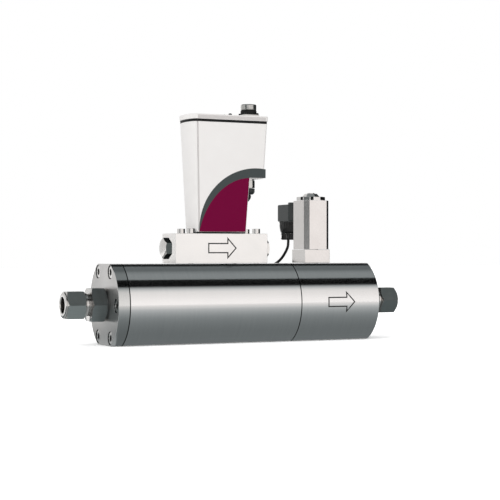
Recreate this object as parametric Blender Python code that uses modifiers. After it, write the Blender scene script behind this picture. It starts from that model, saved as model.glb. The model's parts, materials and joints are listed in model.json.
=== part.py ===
"""A thermal mass flow controller for gas: a round steel body with a flat milled on its top and bottom,
a compression fitting at each end, a sensor block carrying the electronics housing, and a solenoid
control valve. Metres, +Z up, +X from inlet to outlet. The origin is on the bottom flat at mid-length.
"""

import math

import bmesh
import bpy
from mathutils import Matrix, Vector

# Clearances
GAP = 0.0003
THREAD_GAP = 0.0003

# Body, a bar with two flats, in three lengths
BODY_LENGTH = 0.300
BODY_RADIUS = 0.0465
FLAT_DEPTH = 0.0045
FLANGE_THICKNESS = 0.0126
VALVE_SECTION_LENGTH = 0.095
RIM_CHAMFER = 0.0004
BODY_STEPS = 44

# Steps round a turn of the other round pieces
CHAMBER_STEPS = 24
ROUND_STEPS = 18
SMALL_STEPS = 10
TINY_STEPS = 6
BEND_STEPS = 6
DOME_STEPS = 2

# Flange screws
BOLT_COUNT = 6
BOLT_RIM_WALL = 0.0008
BOLT_RADIUS = 0.004
BOLT_HEAD_RADIUS = 0.0065
BOLT_HEAD_HEIGHT = 0.008
BOLT_SOCKET_FLATS = 0.006
BOLT_HEAD_SUNK = 0.0006
BOLT_GRIP = 0.016
COUNTERBORE_CLEARANCE = 0.0004
SCREW_HEAD_EDGE = 0.0005
SCREW_SOCKET_SHARE = 0.55

# Face seals of the body, in grooves between the screws and the bore
SEAL_CORD_RADIUS = 0.001
SEAL_GROOVE_DEPTH = 0.002
SEAL_GROOVE_WALL = 0.001
BORE_LAND = 0.0009
SEAL_CORD_STEPS = 4

# Tube fittings
TUBE_RADIUS = 0.008
TUBE_CLEARANCE = 0.0001
FITTING_BORE_RADIUS = 0.0060
PORT_THREAD_RADIUS = 0.0104
PORT_SEAL_RADIUS = 0.0150
PORT_SEAL_THICKNESS = 0.00175
FITTING_HEX_FLATS = 0.034
FITTING_HEX_LENGTH = 0.01525
FITTING_NECK_RADIUS = 0.0114
FITTING_NECK_SHOWN = 0.003
FITTING_NECK_IN_NUT = 0.0105
TUBE_STOP_DEPTH = 0.012
NUT_FLATS = 0.028
NUT_LENGTH = 0.0244
FERRULE_LENGTH = 0.0042
FERRULE_SEAT_DEPTH = 0.0021
BACK_FERRULE_LENGTH = 0.0018
FERRULE_RADIUS = 0.0100
HEX_CHAMFER = 0.0016

# Flow element and sieve
ELEMENT_LENGTH = 0.056
ELEMENT_DISCS = 4
ELEMENT_DISC_SHARE = 0.7
ELEMENT_GROOVE_DEPTH = 0.003
ELEMENT_HOLE_RADIUS = 0.008
SIEVE_THICKNESS = 0.0015
SIEVE_HOLE_RADIUS = 0.0045
SIEVE_RING_RADIUS = 0.016
SIEVE_RING_HOLES = 6

# Sensor block
BLOCK_START = 0.0718
BLOCK_LENGTH = 0.1057
BLOCK_WIDTH = 0.039
BLOCK_HEIGHT = 0.0317
BLOCK_EDGE = 0.0005
BLOCK_BORE_RADIUS = 0.004
BLOCK_PORT_RADIUS = 0.002
SENSOR_PORT_SPACING = 0.034
BLOCK_SCREW_RADIUS = 0.0025
BLOCK_SCREW_HEAD_RADIUS = 0.00425
BLOCK_SCREW_HEAD_HEIGHT = 0.005
BLOCK_SCREW_SOCKET_FLATS = 0.004
BLOCK_SCREW_INSET_LEFT = 0.0192
BLOCK_SCREW_INSET_RIGHT = 0.0108
BLOCK_SCREW_SPREAD = 0.0135
BLOCK_SCREW_GRIP = 0.008
PLUG_HEX_FLATS = 0.0195
PLUG_HEAD_THICKNESS = 0.008
PLUG_HEAD_CHAMFER = 0.0008
PLUG_THREAD_RADIUS = 0.007
PLUG_THREAD_LENGTH = 0.009
PLUG_CENTRE_HEIGHT = 0.016

# Electronics housing
HOUSING_GASKET = 0.0018
HOUSING_HEIGHT = 0.1161
HOUSING_WALL = 0.0025
HOUSING_FLOOR = 0.003
HOUSING_EDGE = 0.0005
CREASE_TOP = 0.0240
CREASE_BOTTOM = 0.0275
NOSE_TOP = 0.0075
NOSE_BOTTOM = 0.0040
HALF_WIDTH_TOP = 0.0211
HALF_WIDTH_BOTTOM = 0.0170
END_TOP = 0.1051
END_BOTTOM = 0.0990
FOOT_END_TOP = 0.0849
FOOT_END_BOTTOM = 0.0814
OVERHANG_HEIGHT = 0.0572
END_CORNER_RADIUS = 0.0025
NOSE_STEPS = 16
CORNER_STEPS = 3
LID_GASKET = 0.00205
LID_GASKET_INSET = 0.0008
LID_THICKNESS = 0.00565
LID_OVERHANG = 0.0006
LID_EDGE = 0.0012
SENSOR_WINDOW_LENGTH = 0.044
SENSOR_WINDOW_WIDTH = 0.022

# Sensor and circuit board
SENSOR_TUBE_RADIUS = 0.0008
SENSOR_RISE = 0.034
SENSOR_BEND_RADIUS = 0.007
SENSOR_TUBE_DEPTH = 0.006
WINDING_RADIUS = 0.0022
WINDING_LENGTH = 0.008
WINDING_SPACING = 0.0096
BOARD_THICKNESS = 0.0016
BOARD_OFFSET = 0.008
BOARD_LENGTH = 0.040
BOARD_TOP_MARGIN = 0.006

# Chips on the board: how far across and up it as shares of its size, their own size and rise
BOARD_CHIPS = (
    ("processor_chip", 0.0, 0.60, 0.014, 0.0018),
    ("driver_chip", -0.25, 0.82, 0.008, 0.0030),
    ("storage_chip", 0.25, 0.82, 0.008, 0.0018),
)

# Round connector on the lid
CONNECTOR_FROM_CREASE = 0.0682
CONNECTOR_THREAD_RADIUS = 0.0085
CONNECTOR_NECK_RADIUS = 0.00725
CONNECTOR_THREAD_LENGTH = 0.0082
CONNECTOR_NECK_LENGTH = 0.0040
CONNECTOR_FLANGE = 0.0175
CONNECTOR_FLANGE_THICKNESS = 0.0015
CONNECTOR_BORE_RADIUS = 0.0069
CONNECTOR_SPIGOT_LENGTH = 0.009
INSERT_LEDGE = 0.0016
INSERT_LENGTH = 0.0065
PIN_COUNT = 8
PIN_CIRCLE_RADIUS = 0.0048
PIN_RADIUS = 0.0005
PIN_LENGTH = 0.0045

# Button and lamp on the lid
BUTTON_FROM_CREASE = 0.0465
BUTTON_RADIUS = 0.0020
BUTTON_TRAVEL = 0.0008
BUTTON_LEFT_UP = 0.0004
LAMP_FROM_CREASE = 0.0397
LAMP_RADIUS = 0.0016
LAMP_SHOWN = 0.0005
TRIM_CROWN = 0.0007
TRIM_FLANGE = 0.0010
TRIM_FLANGE_THICKNESS = 0.0012

# Lead gland under the overhang
GLAND_FROM_CREASE = 0.0687
GLAND_RADIUS = 0.00625
GLAND_LENGTH = 0.0093
GLAND_THREAD_RADIUS = 0.005
GLAND_BORE_RADIUS = 0.0035
LEAD_PLUG_RADIUS = 0.0063
LEAD_PLUG_LENGTH = 0.0065
LEAD_PLUG_STRAIGHT = 0.0039
LEAD_PLUG_TIP_RADIUS = 0.0044
LEAD_PLUG_SPIGOT = 0.005
NUT_RECESS = 0.0009

# Control valve
VALVE_FROM_OUTLET = 0.0602
VALVE_BASE_LENGTH = 0.0307
VALVE_BASE_WIDTH = 0.0316
VALVE_BASE_HEIGHT = 0.0149
COIL_LENGTH = 0.0305
COIL_WIDTH = 0.0347
COIL_HEIGHT = 0.0535
COIL_CORNER = 0.0042
COIL_TOP_WALL = 0.003
COIL_POCKET_RADIUS = 0.0132
WINDING_CLEARANCE = 0.0004
BOBBIN_CHEEK = 0.0015
TOP_PLATE_FLATS = 0.030
TOP_PLATE_THICKNESS = 0.0041
COIL_NUT_FLATS = 0.0150
COIL_NUT_THICKNESS = 0.0036
STUD_RADIUS = 0.004
STUD_SHOWN = 0.0008
POCKET_RADIUS = 0.0083
POCKET_DEPTH = 0.022
GUIDE_TUBE_RADIUS = 0.006
GUIDE_COLLAR_RADIUS = 0.010
GUIDE_COLLAR_THICKNESS = 0.003
GUIDE_THREAD_DEPTH = 0.012
PLUNGER_RADIUS = 0.0046
PLUNGER_LENGTH = 0.052
PLUNGER_TRAVEL = 0.0006
PLUNGER_CHAMFER = 0.0016
PLUNGER_POCKET_RADIUS = 0.0030
PLUNGER_POCKET_DEPTH = 0.008
SPRING_WIRE_RADIUS = 0.0003
SPRING_TURNS = 3
SPRING_STEPS = 8
SEAT_FLANGE_THICKNESS = 0.002
SEAT_HEIGHT = 0.006
SEAT_NOZZLE_RADIUS = 0.0035
ORIFICE_RADIUS = 0.0012
PASSAGE_RADIUS = 0.004
ENTRY_CHAMBER_DEPTH = 0.010
ENTRY_PASSAGE_RADIUS = 0.0035

# Cable plug on the back of the coil
PLUG_BODY_LENGTH = 0.022
PLUG_BODY_DEPTH = 0.0275
PLUG_BODY_HEIGHT = 0.0188
PLUG_BODY_SHIFT = -0.0090
PLUG_BODY_BELOW_TOP = 0.0035
PLUG_BODY_EDGE = 0.001
PLUG_BOSS_LENGTH = 0.0154
PLUG_BOSS_HEIGHT = 0.0022
PLUG_BOSS_DEPTH = 0.006
CABLE_AXIS_DEPTH = 0.0206
CABLE_HEX_FLATS = 0.016
CABLE_HEX_LENGTH = 0.0129
CABLE_NUT_FLATS = 0.0145
CABLE_NUT_LENGTH = 0.0073
LEAD_RADIUS = 0.0015
LEAD_STRAIGHT = 0.004

# The lead's way behind the body, from the cable plug to the gland
LEAD_ROUTE = (
    (0.0785, 0.0372, 0.0990),
    (0.0700, 0.0345, 0.0885),
    (0.0580, 0.0322, 0.0815),
    (0.0420, 0.0312, 0.0798),
    (0.0260, 0.0312, 0.0800),
    (0.0120, 0.0308, 0.0850),
    (0.0040, 0.0288, 0.0980),
    (0.0020, 0.0268, 0.1150),
    (0.0045, 0.0235, 0.1310),
    (0.0095, 0.0150, 0.1440),
)

# Radii, levels and stations that the sizes above give
AXIS_HEIGHT = BODY_RADIUS - FLAT_DEPTH
BODY_TOP = 2 * AXIS_HEIGHT
COUNTERBORE_RADIUS = BOLT_HEAD_RADIUS + COUNTERBORE_CLEARANCE
BOLT_HOLE_RADIUS = BOLT_RADIUS + THREAD_GAP
BOLT_CIRCLE_RADIUS = BODY_RADIUS - BOLT_RIM_WALL - COUNTERBORE_RADIUS
GROOVE_OUTER = BOLT_CIRCLE_RADIUS - BOLT_HOLE_RADIUS - SEAL_GROOVE_WALL
GROOVE_INNER = GROOVE_OUTER - 2 * (SEAL_CORD_RADIUS + GAP)
FLOW_BORE_RADIUS = GROOVE_INNER - BORE_LAND
INLET_FACE = -BODY_LENGTH / 2
OUTLET_FACE = BODY_LENGTH / 2
FLANGE_SEAM = INLET_FACE + FLANGE_THICKNESS
VALVE_SEAM = OUTLET_FACE - VALVE_SECTION_LENGTH
BLOCK_LEFT = INLET_FACE + BLOCK_START
BLOCK_RIGHT = BLOCK_LEFT + BLOCK_LENGTH
BLOCK_BOTTOM = BODY_TOP + GAP
BLOCK_TOP = BODY_TOP + BLOCK_HEIGHT
HOUSING_BOTTOM = BLOCK_TOP + HOUSING_GASKET
HOUSING_TOP = HOUSING_BOTTOM + HOUSING_HEIGHT
LID_BOTTOM = HOUSING_TOP + LID_GASKET
LID_TOP = LID_BOTTOM + LID_THICKNESS
OVERHANG = HOUSING_BOTTOM + OVERHANG_HEIGHT
CREASE = BLOCK_LEFT + CREASE_TOP
VALVE_X = OUTLET_FACE - VALVE_FROM_OUTLET
BASE_TOP = BODY_TOP + VALVE_BASE_HEIGHT
COIL_BOTTOM = BASE_TOP + GAP
COIL_TOP = COIL_BOTTOM + COIL_HEIGHT
POCKET_FLOOR = BODY_TOP - POCKET_DEPTH
SCREW_STATIONS = (BLOCK_LEFT + BLOCK_SCREW_INSET_LEFT, BLOCK_RIGHT - BLOCK_SCREW_INSET_RIGHT)

TURNS = {
    "+X": (0.0, math.pi / 2, 0.0),
    "-X": (0.0, -math.pi / 2, 0.0),
    "+Y": (-math.pi / 2, 0.0, 0.0),
    "+Z": (0.0, 0.0, 0.0),
    "-Z": (math.pi, 0.0, 0.0),
}


def clear_scene():
    for obj in list(bpy.data.objects):
        bpy.data.objects.remove(obj, do_unlink=True)


def new_collection(name):
    collection = bpy.data.collections.new(name)
    bpy.context.scene.collection.children.link(collection)
    return collection


def new_material(name, colour, roughness, metallic):
    material = bpy.data.materials.new(name)
    material.use_nodes = True
    shader = material.node_tree.nodes["Principled BSDF"]
    shader.inputs["Base Color"].default_value = (*colour, 1.0)
    shader.inputs["Roughness"].default_value = roughness
    shader.inputs["Metallic"].default_value = metallic
    material.diffuse_color = (*colour, 1.0)
    return material


def add_object(name, mesh, material):
    """A piece of the controller, or a cutter if it has no material."""
    obj = bpy.data.objects.new(name, mesh)
    if material is None:
        obj.hide_render = True
        obj.display_type = "WIRE"
        CUTTERS.objects.link(obj)
        return obj
    if not mesh.materials:
        mesh.materials.append(material)
    PART.objects.link(obj)
    return obj


def mesh_from(name, bm):
    mesh = bpy.data.meshes.new(name)
    bm.to_mesh(mesh)
    bm.free()
    return mesh


def box(name, low, high, material=None, edge=0.0):
    """A block between two corners, its edges bevelled by edge."""
    size = Vector(high) - Vector(low)
    bm = bmesh.new()
    bmesh.ops.create_cube(bm, size=1.0, matrix=Matrix.Diagonal((*size, 1.0)))
    obj = add_object(name, mesh_from(name, bm), material)
    obj.location = (Vector(low) + Vector(high)) / 2
    if edge:
        bevel(obj, edge, 1)
    return obj


def bevel(obj, width, segments):
    modifier = obj.modifiers.new("Edges", "BEVEL")
    modifier.width = width
    modifier.segments = segments
    modifier.limit_method = "ANGLE"
    modifier.angle_limit = math.radians(40)


def turned(name, profile, place, facing, steps, material=None):
    """A solid of revolution about the facing axis through place. The profile holds (radius, height)
    pairs and runs down its outer side; one that leaves the axis at both ends is a closed ring."""
    bm = bmesh.new()
    points = [bm.verts.new((radius, 0.0, height)) for radius, height in profile]
    for first, second in zip(points, points[1:]):
        bm.edges.new((first, second))
    if profile[0][0] > 0.0:
        bm.edges.new((points[-1], points[0]))
    obj = add_object(name, mesh_from(name, bm), material)
    screw = obj.modifiers.new("Turn", "SCREW")
    screw.axis = "Z"
    screw.steps = steps
    screw.render_steps = steps
    screw.use_merge_vertices = True
    screw.merge_threshold = 0.00001
    screw.use_smooth_shade = True
    obj.location = place
    obj.rotation_euler = TURNS[facing]
    return obj


def prism(name, sides, flats, length, place, facing, turn=0.0, material=None):
    """A straight bar with this many sides, centred on place, flats being the width across them."""
    radius = flats / 2 / math.cos(math.pi / sides)
    bm = bmesh.new()
    bmesh.ops.create_cone(
        bm, cap_ends=True, segments=sides, radius1=radius, radius2=radius, depth=length,
        matrix=Matrix.Rotation(turn, 4, "Z"),
    )
    obj = add_object(name, mesh_from(name, bm), material)
    obj.location = place
    obj.rotation_euler = TURNS[facing]
    return obj


def drills(name, radius, length, places, facing, steps=SMALL_STEPS):
    """One cutter of round drills that start at each place and run along the facing axis."""
    turn = Matrix.Rotation(TURNS[facing][0], 4, "X") @ Matrix.Rotation(TURNS[facing][1], 4, "Y")
    bm = bmesh.new()
    for place in places:
        stand = Matrix.Translation(place) @ turn @ Matrix.Translation((0.0, 0.0, length / 2))
        bmesh.ops.create_cone(
            bm, cap_ends=True, segments=steps, radius1=radius, radius2=radius, depth=length,
            matrix=stand,
        )
    return add_object(name, mesh_from(name, bm), None)


def change(obj, other, operation):
    modifier = obj.modifiers.new(f"{operation.title()} {other.name}", "BOOLEAN")
    modifier.operation = operation
    modifier.solver = "EXACT"
    modifier.object = other


def cut(obj, *others):
    """All of a piece's cutters in one Boolean, so that those that cross each other cut cleanly."""
    cutters = bpy.data.collections.new(f"{obj.name}_cutters")
    CUTTERS.children.link(cutters)
    for other in others:
        CUTTERS.objects.unlink(other)
        cutters.objects.link(other)
    modifier = obj.modifiers.new("Cuts", "BOOLEAN")
    modifier.operation = "DIFFERENCE"
    modifier.solver = "EXACT"
    modifier.operand_type = "COLLECTION"
    modifier.collection = cutters


def keep_within(obj, other):
    change(obj, other, "INTERSECT")


def join(obj, other):
    change(obj, other, "UNION")


def evaluated_mesh(obj):
    graph = bpy.context.evaluated_depsgraph_get()
    return bpy.data.meshes.new_from_object(obj.evaluated_get(graph))


def lofted(name, lower, lower_height, upper, upper_height, material=None):
    """A solid between two outlines of as many points: the lower one is extruded and its top reshaped."""
    bm = bmesh.new()
    base = bm.faces.new([bm.verts.new((x, y, lower_height)) for x, y in lower])
    raised = bmesh.ops.extrude_face_region(bm, geom=[base])["geom"]
    top = [item for item in raised if isinstance(item, bmesh.types.BMVert)]
    for vert in top:
        place = min(range(len(lower)), key=lambda i: (vert.co.xy - Vector(lower[i])).length)
        vert.co = (*upper[place], upper_height)
    bmesh.ops.recalc_face_normals(bm, faces=bm.faces)
    return add_object(name, mesh_from(name, bm), material)


def extruded_across(name, outline, half_width):
    """A cutter whose X and Z outline runs across the part by half_width to each side."""
    bm = bmesh.new()
    base = bm.faces.new([bm.verts.new((x, -half_width, z)) for x, z in outline])
    raised = bmesh.ops.extrude_face_region(bm, geom=[base])["geom"]
    top = [item for item in raised if isinstance(item, bmesh.types.BMVert)]
    bmesh.ops.translate(bm, vec=(0.0, 2 * half_width, 0.0), verts=top)
    bmesh.ops.recalc_face_normals(bm, faces=bm.faces)
    return add_object(name, mesh_from(name, bm), None)


def ring_profile(inner, outer, low, high):
    return [(inner, high), (outer, high), (outer, low), (inner, low)]


def outer_rim(length):
    """The outside of one length of the bar, with both rims chamfered."""
    return [
        (BODY_RADIUS - RIM_CHAMFER, length), (BODY_RADIUS, length - RIM_CHAMFER),
        (BODY_RADIUS, RIM_CHAMFER), (BODY_RADIUS - RIM_CHAMFER, 0.0),
    ]


def bolt_places(x):
    """The flange screws' centres at one station: two of them lie level with the axis."""
    places = []
    for index in range(BOLT_COUNT):
        angle = 2 * math.pi * index / BOLT_COUNT
        y = BOLT_CIRCLE_RADIUS * math.cos(angle)
        z = AXIS_HEIGHT + BOLT_CIRCLE_RADIUS * math.sin(angle)
        places.append((x, y, z))
    return places


def cap_screw_mesh(name, radius, head_radius, head_height, length, socket_flats, steps, material):
    """A socket head screw with its head's seat at the origin and its head towards +Z."""
    profile = [
        (0.0, head_height), (head_radius - SCREW_HEAD_EDGE, head_height),
        (head_radius, head_height - SCREW_HEAD_EDGE), (head_radius, 0.0), (radius, 0.0),
        (radius, -length), (0.0, -length),
    ]
    pattern = turned(name, profile, (0, 0, 0), "+Z", steps, material)
    socket_length = 2 * SCREW_SOCKET_SHARE * head_height
    socket_place = (0, 0, head_height)
    cut(pattern, prism(f"{name}_socket", 6, socket_flats, socket_length, socket_place, "+Z"))
    mesh = evaluated_mesh(pattern)
    bpy.data.objects.remove(pattern)
    return mesh


def place_screws(prefix, mesh, places, facing, material):
    for index, place in enumerate(places, start=1):
        obj = add_object(f"{prefix}_{index}", mesh, material)
        obj.location = place
        obj.rotation_euler = TURNS[facing]


def build_body():
    """The bar in three lengths: inlet flange, tube and valve section, with screws and face seals."""
    flats = box(
        "body_flats", (INLET_FACE - BODY_RADIUS, -2 * BODY_RADIUS, 0.0),
        (OUTLET_FACE + BODY_RADIUS, 2 * BODY_RADIUS, BODY_TOP),
    )
    seat_depth = BOLT_HEAD_HEIGHT + BOLT_HEAD_SUNK
    thread_depth = BOLT_GRIP + 2 * GAP

    flange_length = FLANGE_THICKNESS - GAP
    port_radius = PORT_THREAD_RADIUS + THREAD_GAP
    groove_floor = flange_length - SEAL_GROOVE_DEPTH
    flange_profile = [
        (0.0, flange_length), (GROOVE_INNER, flange_length), (GROOVE_INNER, groove_floor),
        (GROOVE_OUTER, groove_floor), (GROOVE_OUTER, flange_length), *outer_rim(flange_length),
        (0.0, 0.0),
    ]
    flange = turned(
        "inlet_flange", flange_profile, (INLET_FACE, 0, AXIS_HEIGHT), "+X", BODY_STEPS, STEEL
    )
    keep_within(flange, flats)
    inlet_heads = bolt_places(INLET_FACE - GAP)
    port_start = (INLET_FACE - GAP, 0, AXIS_HEIGHT)
    cut(
        flange,
        drills("inlet_port", port_radius, 2 * FLANGE_THICKNESS, [port_start], "+X", ROUND_STEPS),
        drills("inlet_counterbores", COUNTERBORE_RADIUS, seat_depth + GAP, inlet_heads, "+X"),
        drills("inlet_bolt_holes", BOLT_HOLE_RADIUS, 2 * FLANGE_THICKNESS, inlet_heads, "+X"),
    )

    tube_length = VALVE_SEAM - FLANGE_SEAM
    tube_profile = [(FLOW_BORE_RADIUS, tube_length), *outer_rim(tube_length), (FLOW_BORE_RADIUS, 0.0)]
    tube = turned(
        "body_tube", tube_profile, (FLANGE_SEAM, 0, AXIS_HEIGHT), "+X", BODY_STEPS, STEEL
    )
    keep_within(tube, flats)
    screw_depth = BLOCK_SCREW_GRIP + 2 * GAP
    block_screws = [(x, y, BODY_TOP - screw_depth) for x, y in block_screw_places()]
    ports = [(x, 0, AXIS_HEIGHT) for x in block_port_stations()]
    inlet_threads = bolt_places(FLANGE_SEAM - GAP)
    outlet_threads = bolt_places(VALVE_SEAM + GAP)
    cut(
        tube,
        drills("inlet_threads", BOLT_HOLE_RADIUS, thread_depth + GAP, inlet_threads, "+X"),
        drills("outlet_threads", BOLT_HOLE_RADIUS, thread_depth + GAP, outlet_threads, "-X"),
        drills("block_threads", BLOCK_SCREW_RADIUS + THREAD_GAP, 2 * screw_depth, block_screws, "+Z"),
        drills("tube_ports", BLOCK_PORT_RADIUS, BODY_TOP, ports, "+Z"),
    )

    section_length = VALVE_SECTION_LENGTH - GAP
    start = VALVE_SEAM + GAP
    section_profile = [
        (0.0, section_length), *outer_rim(section_length), (GROOVE_OUTER, 0.0),
        (GROOVE_OUTER, SEAL_GROOVE_DEPTH), (GROOVE_INNER, SEAL_GROOVE_DEPTH), (GROOVE_INNER, 0.0),
        (0.0, 0.0),
    ]
    section = turned(
        "valve_section", section_profile, (start, 0, AXIS_HEIGHT), "+X", BODY_STEPS, STEEL
    )
    keep_within(section, flats)
    outlet_heads = bolt_places(OUTLET_FACE + GAP)
    passage_start = VALVE_X - PASSAGE_RADIUS
    port_floor = OUTLET_FACE - FLANGE_THICKNESS - passage_start
    channel_end = OUTLET_FACE + GAP - passage_start
    channel_profile = [
        (0.0, channel_end), (port_radius, channel_end), (port_radius, port_floor),
        (FITTING_BORE_RADIUS, port_floor), (FITTING_BORE_RADIUS, 0.0), (0.0, 0.0),
    ]
    chamber = (start - GAP, 0, AXIS_HEIGHT)
    chamber_radius = FLOW_BORE_RADIUS - GAP
    entry = (start + GAP, 0, POCKET_FLOOR + ENTRY_PASSAGE_RADIUS + GAP)
    pocket = (VALVE_X, 0, POCKET_FLOOR)
    passage_length = POCKET_FLOOR + GAP - AXIS_HEIGHT
    cut(
        section,
        turned("outlet_channel", channel_profile, (passage_start, 0, AXIS_HEIGHT), "+X", ROUND_STEPS),
        drills("entry_chamber", chamber_radius, ENTRY_CHAMBER_DEPTH + GAP, [chamber], "+X", CHAMBER_STEPS),
        drills("outlet_counterbores", COUNTERBORE_RADIUS, seat_depth + GAP, outlet_heads, "-X"),
        drills("outlet_bolt_holes", BOLT_HOLE_RADIUS, 2 * VALVE_SECTION_LENGTH, outlet_heads, "-X"),
        drills("valve_pocket", POCKET_RADIUS, 2 * POCKET_DEPTH, [pocket], "+Z", ROUND_STEPS),
        drills("entry_passage", ENTRY_PASSAGE_RADIUS, VALVE_X - start, [entry], "+X"),
        drills("seat_passage", PASSAGE_RADIUS, passage_length, [(VALVE_X, 0, AXIS_HEIGHT)], "+Z"),
    )

    inlet_grip = FLANGE_THICKNESS - seat_depth + BOLT_GRIP
    outlet_grip = VALVE_SECTION_LENGTH - seat_depth + BOLT_GRIP
    inlet_screw = cap_screw_mesh(
        "inlet_screw", BOLT_RADIUS, BOLT_HEAD_RADIUS, BOLT_HEAD_HEIGHT - GAP, inlet_grip - GAP,
        BOLT_SOCKET_FLATS, SMALL_STEPS, BOLT_STEEL,
    )
    outlet_screw = cap_screw_mesh(
        "outlet_screw", BOLT_RADIUS, BOLT_HEAD_RADIUS, BOLT_HEAD_HEIGHT - GAP, outlet_grip - GAP,
        BOLT_SOCKET_FLATS, SMALL_STEPS, BOLT_STEEL,
    )
    inlet_seats = bolt_places(INLET_FACE + seat_depth - GAP)
    outlet_seats = bolt_places(OUTLET_FACE - seat_depth + GAP)
    place_screws("inlet_screw", inlet_screw, inlet_seats, "-X", BOLT_STEEL)
    place_screws("outlet_screw", outlet_screw, outlet_seats, "+X", BOLT_STEEL)


def build_face_seals():
    """The two round cords that seal the joints of the body, each in the middle of its groove."""
    room = SEAL_GROOVE_DEPTH + GAP
    circle_radius = (GROOVE_INNER + GROOVE_OUTER) / 2
    stations = {
        "flange_seal": FLANGE_SEAM - room / 2,
        "valve_section_seal": VALVE_SEAM + room / 2,
    }
    for name, x in stations.items():
        profile = []
        for index in range(SEAL_CORD_STEPS):
            angle = -2 * math.pi * index / SEAL_CORD_STEPS
            profile.append((
                circle_radius + SEAL_CORD_RADIUS * math.cos(angle),
                SEAL_CORD_RADIUS * math.sin(angle),
            ))
        turned(name, profile, (x, 0, AXIS_HEIGHT), "+X", 2 * ROUND_STEPS, SEAL_RUBBER)


def build_fitting(prefix, face, facing, side):
    """A two-ferrule compression fitting: seal, hexagonal body, nut and ferrules, mouth outwards."""
    thread_length = FLANGE_THICKNESS - 2 * GAP
    hex_start = PORT_SEAL_THICKNESS
    hex_end = hex_start + FITTING_HEX_LENGTH
    neck_end = hex_end + FITTING_NECK_SHOWN + FITTING_NECK_IN_NUT
    nut_start = hex_end + FITTING_NECK_SHOWN
    nut_end = nut_start + NUT_LENGTH
    bore = TUBE_RADIUS + TUBE_CLEARANCE
    hex_corner = FITTING_HEX_FLATS / math.sqrt(3)
    nut_corner = NUT_FLATS / math.sqrt(3)
    place = (face, 0, AXIS_HEIGHT)

    seal_inner = PORT_THREAD_RADIUS + GAP
    seal = ring_profile(seal_inner, PORT_SEAL_RADIUS, GAP, hex_start - GAP)
    turned(f"{prefix}_port_seal", seal, place, facing, ROUND_STEPS, SEAL_RUBBER)

    body_profile = [
        (FERRULE_RADIUS, neck_end), (FITTING_NECK_RADIUS, neck_end), (FITTING_NECK_RADIUS, hex_end),
        (hex_corner - HEX_CHAMFER, hex_end), (hex_corner, hex_end - HEX_CHAMFER),
        (hex_corner, hex_start + HEX_CHAMFER), (hex_corner - HEX_CHAMFER, hex_start),
        (PORT_THREAD_RADIUS, hex_start), (PORT_THREAD_RADIUS, -thread_length),
        (FITTING_BORE_RADIUS, -thread_length), (FITTING_BORE_RADIUS, hex_end - TUBE_STOP_DEPTH),
        (bore, hex_end - TUBE_STOP_DEPTH), (bore, neck_end - FERRULE_SEAT_DEPTH),
    ]
    body = turned(f"{prefix}_fitting_body", body_profile, place, facing, ROUND_STEPS, FITTING_STEEL)
    length = 2 * (hex_end + NUT_LENGTH)
    keep_within(body, prism(f"{prefix}_body_hexagon", 6, FITTING_HEX_FLATS, length, place, facing))

    front_start = neck_end + GAP
    front_end = front_start + FERRULE_LENGTH
    back_end = front_end + GAP + BACK_FERRULE_LENGTH
    front = [
        (bore, front_end), (FERRULE_RADIUS, front_end), (FERRULE_RADIUS, front_start + GAP),
        (bore + GAP, front_start),
    ]
    turned(f"{prefix}_front_ferrule", front, place, facing, ROUND_STEPS, FITTING_STEEL)
    back = ring_profile(bore, FERRULE_RADIUS, front_end + GAP, back_end)
    turned(f"{prefix}_back_ferrule", back, place, facing, ROUND_STEPS, FITTING_STEEL)

    pocket = FITTING_NECK_RADIUS + THREAD_GAP
    nut_profile = [
        (bore, nut_end), (nut_corner - HEX_CHAMFER, nut_end), (nut_corner, nut_end - HEX_CHAMFER),
        (nut_corner, nut_start + HEX_CHAMFER), (nut_corner - HEX_CHAMFER, nut_start),
        (pocket, nut_start), (pocket, back_end + GAP), (bore, back_end + GAP),
    ]
    nut = turned(f"{prefix}_fitting_nut", nut_profile, place, facing, ROUND_STEPS, FITTING_STEEL)
    middle = (face + side * (nut_start + nut_end) / 2, 0, AXIS_HEIGHT)
    keep_within(nut, prism(f"{prefix}_nut_hexagon", 6, NUT_FLATS, 2 * NUT_LENGTH, middle, facing))


def build_flow_element():
    """The stack of flow discs in the tube's bore, between the sensor's ports, and the inlet sieve."""
    radius = FLOW_BORE_RADIUS - GAP
    root = radius - ELEMENT_GROOVE_DEPTH
    pitch = ELEMENT_LENGTH / ELEMENT_DISCS
    thickness = pitch * ELEMENT_DISC_SHARE
    middle = sum(block_port_stations()) / 2
    profile = [(ELEMENT_HOLE_RADIUS, ELEMENT_LENGTH)]
    for index in range(ELEMENT_DISCS):
        top = ELEMENT_LENGTH - index * pitch
        profile += [(radius, top), (radius, top - thickness)]
        if index < ELEMENT_DISCS - 1:
            profile += [(root, top - thickness), (root, top - pitch)]
    profile[-1] = (radius, 0.0)
    profile.append((ELEMENT_HOLE_RADIUS, 0.0))
    place = (middle - ELEMENT_LENGTH / 2, 0, AXIS_HEIGHT)
    turned("laminar_element", profile, place, "+X", ROUND_STEPS, SEAT_STEEL)

    sieve_start = FLANGE_SEAM + GAP
    sieve = turned(
        "flow_sieve", [(0.0, SIEVE_THICKNESS), (radius, SIEVE_THICKNESS), (radius, 0.0), (0.0, 0.0)],
        (sieve_start, 0, AXIS_HEIGHT), "+X", ROUND_STEPS, SEAT_STEEL,
    )
    holes = [(sieve_start - GAP, 0, AXIS_HEIGHT)]
    for index in range(SIEVE_RING_HOLES):
        angle = 2 * math.pi * index / SIEVE_RING_HOLES
        y = SIEVE_RING_RADIUS * math.cos(angle)
        z = AXIS_HEIGHT + SIEVE_RING_RADIUS * math.sin(angle)
        holes.append((sieve_start - GAP, y, z))
    cut(sieve, drills("sieve_holes", SIEVE_HOLE_RADIUS, 2 * SIEVE_THICKNESS, holes, "+X", TINY_STEPS))


def block_screw_places():
    return [(x, y) for x in SCREW_STATIONS for y in (-BLOCK_SCREW_SPREAD, BLOCK_SCREW_SPREAD)]


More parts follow.
